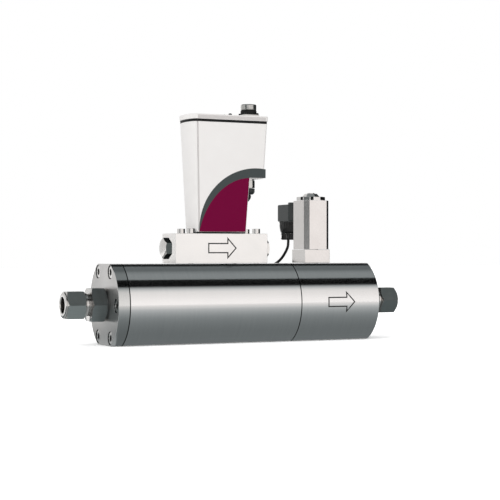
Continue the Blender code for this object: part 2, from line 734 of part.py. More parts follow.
def block_port_stations():
    """Where the body's two pressure taps rise into the block, just inside the screws."""
    return (SCREW_STATIONS[0] - GAP, SCREW_STATIONS[1] + GAP)


def sensor_stations():
    middle = BLOCK_LEFT + (CREASE_BOTTOM + FOOT_END_BOTTOM) / 2
    return (middle - SENSOR_PORT_SPACING / 2, middle + SENSOR_PORT_SPACING / 2)


def build_sensor_block():
    """The bored block on the top flat, with a hexagonal plug in each end and four screws."""
    block = box(
        "sensor_block", (BLOCK_LEFT, -BLOCK_WIDTH / 2, BLOCK_BOTTOM),
        (BLOCK_RIGHT, BLOCK_WIDTH / 2, BLOCK_TOP), STEEL, BLOCK_EDGE,
    )
    bore_height = BODY_TOP + PLUG_CENTRE_HEIGHT
    left_sensor, right_sensor = sensor_stations()
    screws = [(x, y, BODY_TOP - BLOCK_EDGE) for x, y in block_screw_places()]
    ports = [(x, 0, BODY_TOP - BLOCK_EDGE) for x in block_port_stations()]
    sensors = [(x, 0, bore_height) for x in sensor_stations()]
    thread_depth = PLUG_THREAD_LENGTH + GAP
    overrun = 2 * BLOCK_PORT_RADIUS
    left_length = left_sensor - BLOCK_LEFT + overrun
    right_length = BLOCK_RIGHT - right_sensor + overrun
    cut(
        block,
        drills("block_screw_holes", BLOCK_SCREW_RADIUS + THREAD_GAP, 2 * BLOCK_HEIGHT, screws, "+Z"),
        drills("block_left_thread", PLUG_THREAD_RADIUS + THREAD_GAP, 2 * thread_depth,
               [(BLOCK_LEFT - thread_depth, 0, bore_height)], "+X", ROUND_STEPS),
        drills("block_right_thread", PLUG_THREAD_RADIUS + THREAD_GAP, 2 * thread_depth,
               [(BLOCK_RIGHT + thread_depth, 0, bore_height)], "-X", ROUND_STEPS),
        drills("block_left_bore", BLOCK_BORE_RADIUS, left_length, [(BLOCK_LEFT, 0, bore_height)], "+X"),
        drills("block_right_bore", BLOCK_BORE_RADIUS, right_length, [(BLOCK_RIGHT, 0, bore_height)], "-X"),
        drills("block_ports", BLOCK_PORT_RADIUS, PLUG_CENTRE_HEIGHT, ports, "+Z"),
        drills("sensor_ports", SENSOR_TUBE_RADIUS + THREAD_GAP, BLOCK_HEIGHT, sensors, "+Z"),
    )

    corner = PLUG_HEX_FLATS / math.sqrt(3)
    plug_profile = [
        (0.0, PLUG_HEAD_THICKNESS), (corner - HEX_CHAMFER, PLUG_HEAD_THICKNESS),
        (corner, PLUG_HEAD_THICKNESS - PLUG_HEAD_CHAMFER), (corner, GAP), (PLUG_THREAD_RADIUS, GAP),
        (PLUG_THREAD_RADIUS, GAP - PLUG_THREAD_LENGTH), (0.0, GAP - PLUG_THREAD_LENGTH),
    ]
    ends = (("left_block_plug", BLOCK_LEFT, "-X"), ("right_block_plug", BLOCK_RIGHT, "+X"))
    for name, x, facing in ends:
        place = (x, 0, bore_height)
        plug = turned(name, plug_profile, place, facing, ROUND_STEPS, FITTING_STEEL)
        length = 3 * (PLUG_HEAD_THICKNESS + PLUG_THREAD_LENGTH)
        turn = math.pi / 6
        keep_within(plug, prism(f"{name}_hexagon", 6, PLUG_HEX_FLATS, length, place, facing, turn))

    grip = BLOCK_HEIGHT + BLOCK_SCREW_GRIP
    screw = cap_screw_mesh(
        "block_screw", BLOCK_SCREW_RADIUS, BLOCK_SCREW_HEAD_RADIUS, BLOCK_SCREW_HEAD_HEIGHT, grip,
        BLOCK_SCREW_SOCKET_FLATS, SMALL_STEPS, BOLT_STEEL,
    )
    seats = [(x, y, BLOCK_TOP + GAP) for x, y in block_screw_places()]
    place_screws("block_screw", screw, seats, "+Z", BOLT_STEEL)


def housing_outline(height, inset):
    """The housing's plan at a height above its bottom, moved in by inset: a half-elliptical nose
    to the left, flat flanks, and a flat end with rounded corners."""
    share = height / HOUSING_HEIGHT
    crease = BLOCK_LEFT + CREASE_BOTTOM + share * (CREASE_TOP - CREASE_BOTTOM)
    nose = NOSE_BOTTOM + share * (NOSE_TOP - NOSE_BOTTOM) - inset
    half_width = HALF_WIDTH_BOTTOM + share * (HALF_WIDTH_TOP - HALF_WIDTH_BOTTOM) - inset
    end = BLOCK_LEFT + END_BOTTOM + share * (END_TOP - END_BOTTOM) - inset
    return d_outline(crease, nose, half_width, end, max(END_CORNER_RADIUS - inset, GAP))


def d_outline(crease, nose, half_width, end, corner_radius):
    points = []
    for index in range(NOSE_STEPS + 1):
        angle = math.pi / 2 + math.pi * index / NOSE_STEPS
        points.append((crease + nose * math.cos(angle), half_width * math.sin(angle)))
    for side in (-1, 1):
        for index in range(CORNER_STEPS + 1):
            angle = math.pi / 2 * index / CORNER_STEPS
            if side < 0:
                angle = angle - math.pi / 2
            x = end - corner_radius + corner_radius * math.cos(angle)
            y = side * (half_width - corner_radius) + corner_radius * math.sin(angle)
            points.append((x, y))
    return points


def foot_notch(name, shift_x, shift_z):
    """The space under the overhang, to the right of the housing's foot."""
    slope = (FOOT_END_TOP - FOOT_END_BOTTOM) / OVERHANG_HEIGHT
    below = HOUSING_FLOOR
    far = BLOCK_LEFT + END_TOP + HOUSING_HEIGHT
    bottom = HOUSING_BOTTOM - below
    top = OVERHANG + shift_z
    left_bottom = BLOCK_LEFT + FOOT_END_BOTTOM - slope * below + shift_x
    left_top = BLOCK_LEFT + FOOT_END_TOP + slope * shift_z + shift_x
    outline = [(left_bottom, bottom), (far, bottom), (far, top), (left_top, top)]
    return extruded_across(name, outline, 2 * HALF_WIDTH_TOP)


def build_housing():
    """The cast housing with its nose, tapered flanks and overhang, hollow and open at the top."""
    shell = lofted(
        "housing_shell", housing_outline(0.0, 0.0), HOUSING_BOTTOM,
        housing_outline(HOUSING_HEIGHT, 0.0), HOUSING_TOP, HOUSING_PAINT,
    )
    hollow_start = HOUSING_FLOOR
    hollow_end = HOUSING_HEIGHT + LID_GASKET
    hollow = lofted(
        "housing_hollow", housing_outline(hollow_start, HOUSING_WALL), HOUSING_BOTTOM + hollow_start,
        housing_outline(hollow_end, HOUSING_WALL), HOUSING_BOTTOM + hollow_end,
    )
    cut(hollow, foot_notch("hollow_notch", -HOUSING_WALL, HOUSING_WALL))
    cut(shell, foot_notch("shell_notch", 0.0, 0.0))
    bevel(shell, HOUSING_EDGE, 1)
    cut(
        shell, hollow, sensor_window("shell_window", HOUSING_BOTTOM - GAP, 2 * HOUSING_FLOOR, GAP),
        drills("gland_hole", GLAND_THREAD_RADIUS + THREAD_GAP, 4 * HOUSING_WALL,
               [(CREASE + GLAND_FROM_CREASE, 0, OVERHANG - HOUSING_WALL)], "+Z", ROUND_STEPS),
    )

    foot = foot_outline(HOUSING_EDGE)
    gasket_top = HOUSING_BOTTOM - GAP
    gasket = lofted("housing_gasket", foot, BLOCK_TOP + GAP, foot, gasket_top, SEAL_RUBBER)
    cut(gasket, sensor_window("gasket_window", BLOCK_TOP, 2 * HOUSING_GASKET, 0.0))

    rim = housing_outline(HOUSING_HEIGHT, LID_GASKET_INSET)
    rim_inner = housing_outline(HOUSING_HEIGHT, HOUSING_WALL + GAP)
    seal = lofted("lid_gasket", rim, HOUSING_TOP + GAP, rim, LID_BOTTOM - GAP, SEAL_RUBBER)
    cut(seal, lofted("lid_gasket_window", rim_inner, HOUSING_TOP, rim_inner, LID_BOTTOM))

    plan = housing_outline(HOUSING_HEIGHT, -LID_OVERHANG)
    lid = lofted("housing_lid", plan, LID_BOTTOM, plan, LID_TOP, HOUSING_PAINT)
    bevel(lid, LID_EDGE, 1)
    spigot_hole = CONNECTOR_NECK_RADIUS + GAP
    lid_holes = (
        ("lid_connector_hole", spigot_hole, CONNECTOR_FROM_CREASE, ROUND_STEPS),
        ("lid_button_hole", BUTTON_RADIUS + GAP, BUTTON_FROM_CREASE, SMALL_STEPS),
        ("lid_lamp_hole", LAMP_RADIUS + GAP, LAMP_FROM_CREASE, SMALL_STEPS),
    )
    low = LID_BOTTOM - LID_THICKNESS
    cut(lid, *(
        drills(name, radius, 3 * LID_THICKNESS, [(CREASE + station, 0, low)], "+Z", steps)
        for name, radius, station, steps in lid_holes
    ))


def foot_outline(inset):
    """The plan of the housing's foot where it stands on the block."""
    crease = BLOCK_LEFT + CREASE_BOTTOM
    end = BLOCK_LEFT + FOOT_END_BOTTOM - inset
    return d_outline(crease, NOSE_BOTTOM - inset, HALF_WIDTH_BOTTOM - inset, end, GAP)


def sensor_window(name, bottom, height, margin):
    middle = sum(sensor_stations()) / 2
    half_length = SENSOR_WINDOW_LENGTH / 2 + margin
    half_width = SENSOR_WINDOW_WIDTH / 2 + margin
    low = (middle - half_length, -half_width, bottom)
    high = (middle + half_length, half_width, bottom + height)
    return box(name, low, high)


def tube_mesh(name, points, radius, material):
    """A round wire through the points, capped and welded into one closed mesh."""
    curve = bpy.data.curves.new(name, "CURVE")
    curve.dimensions = "3D"
    curve.bevel_depth = radius
    curve.bevel_resolution = 2
    curve.use_fill_caps = True
    spline = curve.splines.new("POLY")
    spline.points.add(len(points) - 1)
    for point, place in zip(spline.points, points):
        point.co = (*place, 1.0)
    wire = bpy.data.objects.new(f"{name}_wire", curve)
    CUTTERS.objects.link(wire)
    mesh = evaluated_mesh(wire)
    bpy.data.objects.remove(wire)
    bm = bmesh.new()
    bm.from_mesh(mesh)
    bmesh.ops.remove_doubles(bm, verts=bm.verts, dist=0.000001)
    bm.to_mesh(mesh)
    bm.free()
    return add_object(name, mesh, material)


def build_sensor_and_board():
    """The heated capillary with its two windings, and the circuit board beside it."""
    left, right = sensor_stations()
    top = BLOCK_TOP + SENSOR_RISE
    points = [(left, 0, BLOCK_TOP - SENSOR_TUBE_DEPTH)]
    bends = ((math.pi, left + SENSOR_BEND_RADIUS), (math.pi / 2, right - SENSOR_BEND_RADIUS))
    for start, centre_x in bends:
        for index in range(BEND_STEPS + 1):
            angle = start - math.pi / 2 * index / BEND_STEPS
            x = centre_x + SENSOR_BEND_RADIUS * math.cos(angle)
            z = top - SENSOR_BEND_RADIUS + SENSOR_BEND_RADIUS * math.sin(angle)
            points.append((x, 0, z))
    points.append((right, 0, BLOCK_TOP - SENSOR_TUBE_DEPTH))
    tube = tube_mesh("sensor_tube", points, SENSOR_TUBE_RADIUS, SEAT_STEEL)
    middle = (left + right) / 2
    for name, side in (("upstream_winding", -1), ("downstream_winding", 1)):
        centre = middle + side * WINDING_SPACING / 2
        start = (centre - WINDING_LENGTH / 2, 0, top)
        join(tube, drills(name, WINDING_RADIUS, WINDING_LENGTH, [start], "+X"))

    board_low = BLOCK_TOP + GAP
    board_high = HOUSING_TOP - BOARD_TOP_MARGIN
    front = BOARD_OFFSET
    back = BOARD_OFFSET + BOARD_THICKNESS
    board = box(
        "circuit_board", (middle - BOARD_LENGTH / 2, front, board_low),
        (middle + BOARD_LENGTH / 2, back, board_high), BOARD_GREEN,
    )
    for name, across, up, size, rise in BOARD_CHIPS:
        x = middle + across * BOARD_LENGTH
        z = board_low + up * (board_high - board_low)
        low = (x - size / 2, front - rise, z - size / 2)
        high = (x + size / 2, front + GAP, z + size / 2)
        join(board, box(name, low, high))


def build_connector():
    """The round threaded connector on the lid: square-flanged shell, and an insert with pins."""
    place = (CREASE + CONNECTOR_FROM_CREASE, 0, LID_TOP + GAP)
    flange_top = CONNECTOR_FLANGE_THICKNESS
    neck_top = flange_top + CONNECTOR_NECK_LENGTH
    mouth = neck_top + CONNECTOR_THREAD_LENGTH
    ledge = -LID_THICKNESS / 2
    corner = CONNECTOR_FLANGE / math.sqrt(2)
    shell_profile = [
        (CONNECTOR_BORE_RADIUS, mouth), (CONNECTOR_THREAD_RADIUS - RIM_CHAMFER, mouth),
        (CONNECTOR_THREAD_RADIUS, mouth - RIM_CHAMFER), (CONNECTOR_THREAD_RADIUS, neck_top),
        (CONNECTOR_NECK_RADIUS, neck_top), (CONNECTOR_NECK_RADIUS, flange_top), (corner, flange_top),
        (corner, 0.0), (CONNECTOR_NECK_RADIUS, 0.0), (CONNECTOR_NECK_RADIUS, -CONNECTOR_SPIGOT_LENGTH),
        (CONNECTOR_BORE_RADIUS - INSERT_LEDGE, -CONNECTOR_SPIGOT_LENGTH),
        (CONNECTOR_BORE_RADIUS - INSERT_LEDGE, ledge), (CONNECTOR_BORE_RADIUS, ledge),
    ]
    shell = turned("connector_shell", shell_profile, place, "+Z", ROUND_STEPS, CONNECTOR_METAL)
    half = CONNECTOR_FLANGE / 2
    centre = Vector(place)
    low = centre - Vector((half, half, mouth))
    high = centre + Vector((half, half, 2 * mouth))
    keep_within(shell, box("connector_square", low, high))

    radius = CONNECTOR_BORE_RADIUS - GAP
    insert_top = ledge + GAP + INSERT_LENGTH
    insert_profile = [(0.0, insert_top), (radius, insert_top), (radius, ledge + GAP), (0.0, ledge + GAP)]
    insert = turned("connector_insert", insert_profile, place, "+Z", ROUND_STEPS, BLACK_PLASTIC)
    pins = []
    for index in range(PIN_COUNT):
        angle = 2 * math.pi * (index + 0.5) / PIN_COUNT
        across = PIN_CIRCLE_RADIUS * math.cos(angle)
        along = PIN_CIRCLE_RADIUS * math.sin(angle)
        pins.append(centre + Vector((across, along, insert_top - GAP)))
    join(insert, drills("connector_pins", PIN_RADIUS, PIN_LENGTH, pins, "+Z", TINY_STEPS))


def build_lid_trim():
    """The push button and the lamp in the lid, each held by a flange under it."""
    button_shown = BUTTON_TRAVEL + BUTTON_LEFT_UP
    trims = (
        ("mode_button", BUTTON_FROM_CREASE, BUTTON_RADIUS, button_shown, BLACK_PLASTIC),
        ("status_lamp", LAMP_FROM_CREASE, LAMP_RADIUS, LAMP_SHOWN, LAMP_LENS),
    )
    for name, station, radius, shown, material in trims:
        top = LID_THICKNESS + shown
        profile = []
        for index in range(DOME_STEPS + 1):
            angle = math.pi / 2 * index / DOME_STEPS
            profile.append((radius * math.sin(angle), top - TRIM_CROWN * (1 - math.cos(angle))))
        profile += [
            (radius, -GAP), (radius + TRIM_FLANGE, -GAP),
            (radius + TRIM_FLANGE, -GAP - TRIM_FLANGE_THICKNESS), (0.0, -GAP - TRIM_FLANGE_THICKNESS),
        ]
        turned(name, profile, (CREASE + station, 0, LID_BOTTOM), "+Z", SMALL_STEPS, material)


def build_lead_gland():
    """The metal socket screwed into the overhang, and the black plug on the valve's lead."""
    x = CREASE + GLAND_FROM_CREASE
    place = (x, 0, OVERHANG - GAP)
    gland_profile = [
        (GLAND_BORE_RADIUS, HOUSING_WALL), (GLAND_THREAD_RADIUS, HOUSING_WALL),
        (GLAND_THREAD_RADIUS, 0.0), (GLAND_RADIUS, 0.0), (GLAND_RADIUS, -GLAND_LENGTH),
        (GLAND_BORE_RADIUS, -GLAND_LENGTH),
    ]
    turned("lead_gland", gland_profile, place, "+Z", ROUND_STEPS, CONNECTOR_METAL)
    spigot = GLAND_BORE_RADIUS - GAP
    top = -GLAND_LENGTH - GAP
    plug_profile = [
        (0.0, top + LEAD_PLUG_SPIGOT), (spigot, top + LEAD_PLUG_SPIGOT), (spigot, top),
        (LEAD_PLUG_RADIUS - NUT_RECESS, top), (LEAD_PLUG_RADIUS, top - NUT_RECESS),
        (LEAD_PLUG_RADIUS, top - LEAD_PLUG_STRAIGHT), (LEAD_PLUG_TIP_RADIUS, top - LEAD_PLUG_LENGTH),
        (0.0, top - LEAD_PLUG_LENGTH),
    ]
    turned("lead_plug", plug_profile, place, "+Z", ROUND_STEPS, BLACK_PLASTIC)


def build_valve():
    """The control valve: seat and sprung plunger inside, coil case, octagonal plate and nut outside."""
    half_length = VALVE_BASE_LENGTH / 2
    half_width = VALVE_BASE_WIDTH / 2
    base = box(
        "valve_base", (VALVE_X - half_length, -half_width, BODY_TOP + GAP),
        (VALVE_X + half_length, half_width, BASE_TOP), STEEL, BLOCK_EDGE,
    )
    bore_start = [(VALVE_X, 0, BODY_TOP)]
    cut(base, drills("base_bore", POCKET_RADIUS, 2 * VALVE_BASE_HEIGHT, bore_start, "+Z", ROUND_STEPS))

    axis = (VALVE_X, 0, 0)
    case = coil_case_body()
    pocket_top = COIL_TOP - COIL_TOP_WALL
    pocket_start = [(VALVE_X, 0, BASE_TOP)]
    guide_start = [(VALVE_X, 0, pocket_top - GAP)]
    cut(
        case,
        drills("coil_pocket", COIL_POCKET_RADIUS, pocket_top - BASE_TOP, pocket_start, "+Z", ROUND_STEPS),
        drills("guide_hole", GUIDE_TUBE_RADIUS + GAP, COIL_HEIGHT, guide_start, "+Z", ROUND_STEPS),
    )

    collar_low = BASE_TOP + GAP
    collar_high = collar_low + GUIDE_COLLAR_THICKNESS
    winding_outer = COIL_POCKET_RADIUS - WINDING_CLEARANCE
    wire_outer = winding_outer - BOBBIN_CHEEK
    winding_inner = GUIDE_TUBE_RADIUS + WINDING_CLEARANCE
    winding_low = collar_high + GAP
    winding_high = pocket_top - GAP
    winding_profile = [
        (winding_inner, winding_high), (winding_outer, winding_high),
        (winding_outer, winding_high - BOBBIN_CHEEK), (wire_outer, winding_high - BOBBIN_CHEEK),
        (wire_outer, winding_low + BOBBIN_CHEEK), (winding_outer, winding_low + BOBBIN_CHEEK),
        (winding_outer, winding_low), (winding_inner, winding_low),
    ]
    turned("coil_winding", winding_profile, axis, "+Z", ROUND_STEPS, COPPER)

    thread_radius = POCKET_RADIUS - THREAD_GAP
    guide_bottom = BODY_TOP - GUIDE_THREAD_DEPTH
    seat_top = POCKET_FLOOR + GAP + SEAT_HEIGHT
    plunger_low = seat_top + GAP
    plunger_high = plunger_low + PLUNGER_LENGTH
    core_bottom = plunger_high + PLUNGER_TRAVEL + GAP
    guide_bore = PLUNGER_RADIUS + GAP
    plate_top = COIL_TOP + TOP_PLATE_THICKNESS
    nut_top = plate_top + COIL_NUT_THICKNESS
    stud_top = nut_top + STUD_SHOWN
    guide_top = COIL_TOP - GAP
    guide_profile = [
        (0.0, stud_top), (STUD_RADIUS, stud_top), (STUD_RADIUS, guide_top), (GUIDE_TUBE_RADIUS, guide_top),
        (GUIDE_TUBE_RADIUS, collar_high), (GUIDE_COLLAR_RADIUS, collar_high),
        (GUIDE_COLLAR_RADIUS, collar_low), (thread_radius, collar_low), (thread_radius, guide_bottom),
        (guide_bore, guide_bottom), (guide_bore, core_bottom), (0.0, core_bottom),
    ]
    turned("armature_tube", guide_profile, axis, "+Z", ROUND_STEPS, SEAT_STEEL)

    plunger_floor = plunger_high - PLUNGER_POCKET_DEPTH
    plunger_profile = [
        (0.0, plunger_floor), (PLUNGER_POCKET_RADIUS, plunger_floor), (PLUNGER_POCKET_RADIUS, plunger_high),
        (PLUNGER_RADIUS, plunger_high), (PLUNGER_RADIUS, plunger_low + PLUNGER_CHAMFER),
        (PLUNGER_RADIUS - PLUNGER_CHAMFER, plunger_low), (0.0, plunger_low),
    ]
    turned("valve_plunger", plunger_profile, axis, "+Z", ROUND_STEPS, SEAT_STEEL)

    spring_low = plunger_floor + GAP + SPRING_WIRE_RADIUS
    spring_high = core_bottom - GAP - SPRING_WIRE_RADIUS
    spring_radius = PLUNGER_POCKET_RADIUS - GAP - SPRING_WIRE_RADIUS
    points = []
    for index in range(SPRING_TURNS * SPRING_STEPS + 1):
        turn = index / SPRING_STEPS
        angle = 2 * math.pi * turn
        z = spring_low + (spring_high - spring_low) * turn / SPRING_TURNS
        points.append((VALVE_X + spring_radius * math.cos(angle), spring_radius * math.sin(angle), z))
    tube_mesh("plunger_spring", points, SPRING_WIRE_RADIUS, SEAT_STEEL)

    seat_flange = POCKET_FLOOR + GAP + SEAT_FLANGE_THICKNESS
    seat_profile = [
        (ORIFICE_RADIUS, seat_top), (SEAT_NOZZLE_RADIUS, seat_top), (SEAT_NOZZLE_RADIUS, seat_flange),
        (thread_radius, seat_flange), (thread_radius, POCKET_FLOOR + GAP),
        (ORIFICE_RADIUS, POCKET_FLOOR + GAP),
    ]
    turned("valve_seat", seat_profile, axis, "+Z", ROUND_STEPS, SEAT_STEEL)

    plate_low = COIL_TOP + GAP
    plate_height = plate_top - plate_low
    plate_middle = (VALVE_X, 0, (plate_low + plate_top) / 2)
    plate = prism(
        "coil_top_plate", 8, TOP_PLATE_FLATS, plate_height, plate_middle, "+Z", math.pi / 8, CONNECTOR_METAL
    )
    bevel(plate, RIM_CHAMFER, 1)
    stud_hole = STUD_RADIUS + THREAD_GAP
    cut(plate, drills("plate_hole", stud_hole, 2 * plate_height, [(VALVE_X, 0, COIL_TOP)], "+Z"))

    corner = COIL_NUT_FLATS / math.sqrt(3)
    nut_low = plate_top + GAP
    nut_profile = [
        (stud_hole, nut_top), (corner - HEX_CHAMFER, nut_top), (corner, nut_top - HEX_CHAMFER),
        (corner, nut_low), (stud_hole, nut_low),
    ]
    nut = turned("coil_nut", nut_profile, axis, "+Z", ROUND_STEPS, FITTING_STEEL)
    nut_height = COIL_NUT_THICKNESS
    nut_middle = (VALVE_X, 0, nut_low + nut_height / 2)
    keep_within(nut, prism("coil_nut_hexagon", 6, COIL_NUT_FLATS, 2 * nut_height, nut_middle, "+Z"))


def coil_case_body():
    """The coil's case: an upright block with its four corners cut off."""
    half_x = COIL_LENGTH / 2
    half_y = COIL_WIDTH / 2
    outline = []
    for side_x, side_y in ((1, 1), (-1, 1), (-1, -1), (1, -1)):
        near_y = (VALVE_X + side_x * half_x, side_y * (half_y - COIL_CORNER))
        near_x = (VALVE_X + side_x * (half_x - COIL_CORNER), side_y * half_y)
        outline += [near_y, near_x] if side_x * side_y > 0 else [near_x, near_y]
    return lofted("coil_case", outline, COIL_BOTTOM, outline, COIL_TOP, BRIGHT_STEEL)


def build_cable_plug():
    """The cable plug on the back of the coil, with its gland pointing down, and the lead."""
    back = COIL_WIDTH / 2 + GAP
    middle_x = VALVE_X + PLUG_BODY_SHIFT
    top = COIL_TOP - PLUG_BODY_BELOW_TOP
    bottom = top - PLUG_BODY_HEIGHT
    half = PLUG_BODY_LENGTH / 2
    plug = box(
        "valve_plug", (middle_x - half, back, bottom), (middle_x + half, back + PLUG_BODY_DEPTH, top),
        BLACK_PLASTIC, PLUG_BODY_EDGE,
    )
    boss_half = PLUG_BOSS_LENGTH / 2
    boss_low = (middle_x - boss_half, back + GAP, top - PLUG_BODY_EDGE)
    boss_high = (middle_x + boss_half, back + PLUG_BOSS_DEPTH, top + PLUG_BOSS_HEIGHT)
    join(plug, box("plug_boss", boss_low, boss_high))
    cable_y = back + CABLE_AXIS_DEPTH
    neck_height = CABLE_HEX_LENGTH + PLUG_BODY_EDGE
    neck_middle = (middle_x, cable_y, bottom + PLUG_BODY_EDGE - neck_height / 2)
    quarter = math.pi / 2
    join(plug, prism("plug_neck", 6, CABLE_HEX_FLATS, neck_height, neck_middle, "+Z", quarter))

    corner = CABLE_NUT_FLATS / math.sqrt(3)
    nut_top = bottom - CABLE_HEX_LENGTH - GAP
    nut_bottom = nut_top - CABLE_NUT_LENGTH
    bore = LEAD_RADIUS + THREAD_GAP
    nut_profile = [
        (bore, nut_top), (corner - NUT_RECESS, nut_top), (corner - NUT_RECESS, nut_top - NUT_RECESS),
        (corner, nut_top - 2 * NUT_RECESS), (corner, nut_bottom + NUT_RECESS),
        (corner - NUT_RECESS, nut_bottom), (bore, nut_bottom),
    ]
    place = (middle_x, cable_y, 0)
    nut = turned("cable_gland_nut", nut_profile, place, "+Z", ROUND_STEPS, BLACK_PLASTIC)
    nut_middle = (middle_x, cable_y, (nut_top + nut_bottom) / 2)
    length = 2 * CABLE_NUT_LENGTH
    keep_within(nut, prism("cable_nut_hexagon", 6, CABLE_NUT_FLATS, length, nut_middle, "+Z", quarter))

    start = Vector((middle_x, cable_y, nut_top - GAP))
    plug_end = OVERHANG - 2 * GAP - GLAND_LENGTH - LEAD_PLUG_LENGTH
    end = Vector((CREASE + GLAND_FROM_CREASE, 0, plug_end - GAP))
    route = [start, Vector((middle_x, cable_y, nut_bottom - LEAD_STRAIGHT))]
    route += [Vector(point) for point in LEAD_ROUTE]
    route += [end - Vector((0, 0, LEAD_STRAIGHT)), end]
    tube_mesh("valve_lead", smooth_route(route), LEAD_RADIUS, LEAD_RUBBER)


def smooth_route(points):
    """Points three diameters apart on a smooth curve through the route's own points."""
    padded = [2 * points[0] - points[1], *points, 2 * points[-1] - points[-2]]
    smooth = []
    for index in range(1, len(padded) - 2):
        before, start, end, after = padded[index - 1:index + 3]
        count = max(1, round((end - start).length / (6 * LEAD_RADIUS)))
        for step in range(count):
            t = step / count
            smooth.append(
                0.5 * (2 * start + (end - before) * t + (2 * before - 5 * start + 4 * end - after) * t ** 2
                       + (3 * start - before - 3 * end + after) * t ** 3)
            )
    smooth.append(points[-1])
    return smooth


clear_scene()
PART = new_collection("mass_flow_controller")
CUTTERS = new_collection("cutters")

STEEL = new_material("Polished steel", (0.62, 0.61, 0.60), 0.22, 1.0)
BRIGHT_STEEL = new_material("Bright steel", (0.72, 0.70, 0.69), 0.35, 1.0)
BOLT_STEEL = new_material("Bolt steel", (0.45, 0.45, 0.45), 0.30, 1.0)
FITTING_STEEL = new_material("Fitting steel", (0.36, 0.37, 0.37), 0.32, 1.0)
SEAT_STEEL = new_material("Inner steel", (0.55, 0.55, 0.55), 0.30, 1.0)
CONNECTOR_METAL = new_material("Nickel plate", (0.55, 0.54, 0.52), 0.25, 1.0)
COPPER = new_material("Copper wire", (0.60, 0.25, 0.12), 0.40, 1.0)
HOUSING_PAINT = new_material("Silver paint", (0.85, 0.84, 0.83), 0.40, 0.2)
SEAL_RUBBER = new_material("Seal rubber", (0.02, 0.02, 0.02), 0.60, 0.0)
LEAD_RUBBER = new_material("Lead rubber", (0.02, 0.02, 0.02), 0.50, 0.0)
BLACK_PLASTIC = new_material("Black plastic", (0.04, 0.045, 0.045), 0.45, 0.0)
BOARD_GREEN = new_material("Board green", (0.02, 0.15, 0.06), 0.50, 0.0)
LAMP_LENS = new_material("Lamp lens", (0.10, 0.45, 0.15), 0.15, 0.0)

build_body()
build_face_seals()
build_fitting("inlet", INLET_FACE, "-X", -1)
build_fitting("outlet", OUTLET_FACE, "+X", 1)
build_flow_element()
build_sensor_block()
build_housing()
build_sensor_and_board()
build_connector()
build_lid_trim()
build_lead_gland()
build_valve()
build_cable_plug()
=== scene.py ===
"""A gas mass flow controller with its finishes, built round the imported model, piece by piece."""

import json
import math

import bmesh
import bpy
from mathutils import Matrix, Vector

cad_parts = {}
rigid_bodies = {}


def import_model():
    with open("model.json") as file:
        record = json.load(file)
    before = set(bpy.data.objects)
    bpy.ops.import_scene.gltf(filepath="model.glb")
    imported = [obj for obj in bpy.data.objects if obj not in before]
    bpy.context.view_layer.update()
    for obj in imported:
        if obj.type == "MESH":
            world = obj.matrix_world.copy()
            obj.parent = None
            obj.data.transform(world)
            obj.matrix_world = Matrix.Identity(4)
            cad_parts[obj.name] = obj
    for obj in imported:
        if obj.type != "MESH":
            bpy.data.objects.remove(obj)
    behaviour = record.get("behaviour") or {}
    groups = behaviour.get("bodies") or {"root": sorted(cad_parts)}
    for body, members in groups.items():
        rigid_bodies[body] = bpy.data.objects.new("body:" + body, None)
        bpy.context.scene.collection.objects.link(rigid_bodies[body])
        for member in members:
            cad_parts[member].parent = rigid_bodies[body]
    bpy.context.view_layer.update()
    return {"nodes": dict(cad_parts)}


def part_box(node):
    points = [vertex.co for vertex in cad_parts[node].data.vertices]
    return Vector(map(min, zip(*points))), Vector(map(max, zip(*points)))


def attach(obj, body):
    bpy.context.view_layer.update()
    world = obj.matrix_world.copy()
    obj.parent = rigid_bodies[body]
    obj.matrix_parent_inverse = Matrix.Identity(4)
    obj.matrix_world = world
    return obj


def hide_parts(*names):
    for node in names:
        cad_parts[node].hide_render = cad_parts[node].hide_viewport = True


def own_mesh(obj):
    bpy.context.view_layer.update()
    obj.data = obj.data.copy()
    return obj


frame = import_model()
nodes = frame["nodes"]


# Camera
# It stands level, a little left of the front, where the photograph was taken from.
def put_in_scene(name, data):
    """A new object at the origin that shows some data."""
    made = bpy.data.objects.new(name, data)
    bpy.context.scene.collection.objects.link(made)
    return made


eye = bpy.data.cameras.new("camera")
eye.lens = 96.0
eye.sensor_width = 36.0
eye.shift_y = 0.0036
eye.clip_end = 30.0
camera = put_in_scene("camera", eye)
camera.location = (-0.5886, -1.3097, 0.0964)
camera.rotation_euler = (math.radians(90), 0.0, math.radians(-24.77))
bpy.context.scene.camera = camera


# Valve lead
# A round 3 mm lead in a soft black jacket, from the cable plug's gland to the socket under the
# housing. It drops out of the gland, lies along the body's back shoulder and climbs the housing's foot.
def linear(code):
    """An sRGB hex colour as linear red, green, blue and alpha."""
    channels = [int(code[start:start + 2], 16) / 255 for start in (1, 3, 5)]
    return (*[((c + 0.055) / 1.055) ** 2.4 if c > 0.04045 else c / 12.92 for c in channels], 1.0)


def feed(tree, node, feeds):
    """Gives a node's sockets their values, or the outputs that lead to them."""
    for socket, value in feeds.items():
        if isinstance(value, bpy.types.NodeSocket):
            tree.links.new(value, node.inputs[socket])
        else:
            node.inputs[socket].default_value = value
    return node


def add(tree, kind, feeds, **settings):
    """Adds a shader node with its settings and what feeds it."""
    node = tree.nodes.new(f"ShaderNode{kind}")
    for name, value in settings.items():
        setattr(node, name, value)
    return feed(tree, node, feeds)


def cells(width):
    """The scale of a pattern whose cells are this many millimetres wide."""
    return 1000 / width


def new_finish(name, constants):
    """A new material: its node tree, its shader with constants, and its place on the object in metres."""
    material = bpy.data.materials.new(name)
    material.use_nodes = True
    tree = material.node_tree
    shader = feed(tree, tree.nodes["Principled BSDF"], constants)
    return material, tree, shader, add(tree, "TexCoord", {}).outputs["Object"]


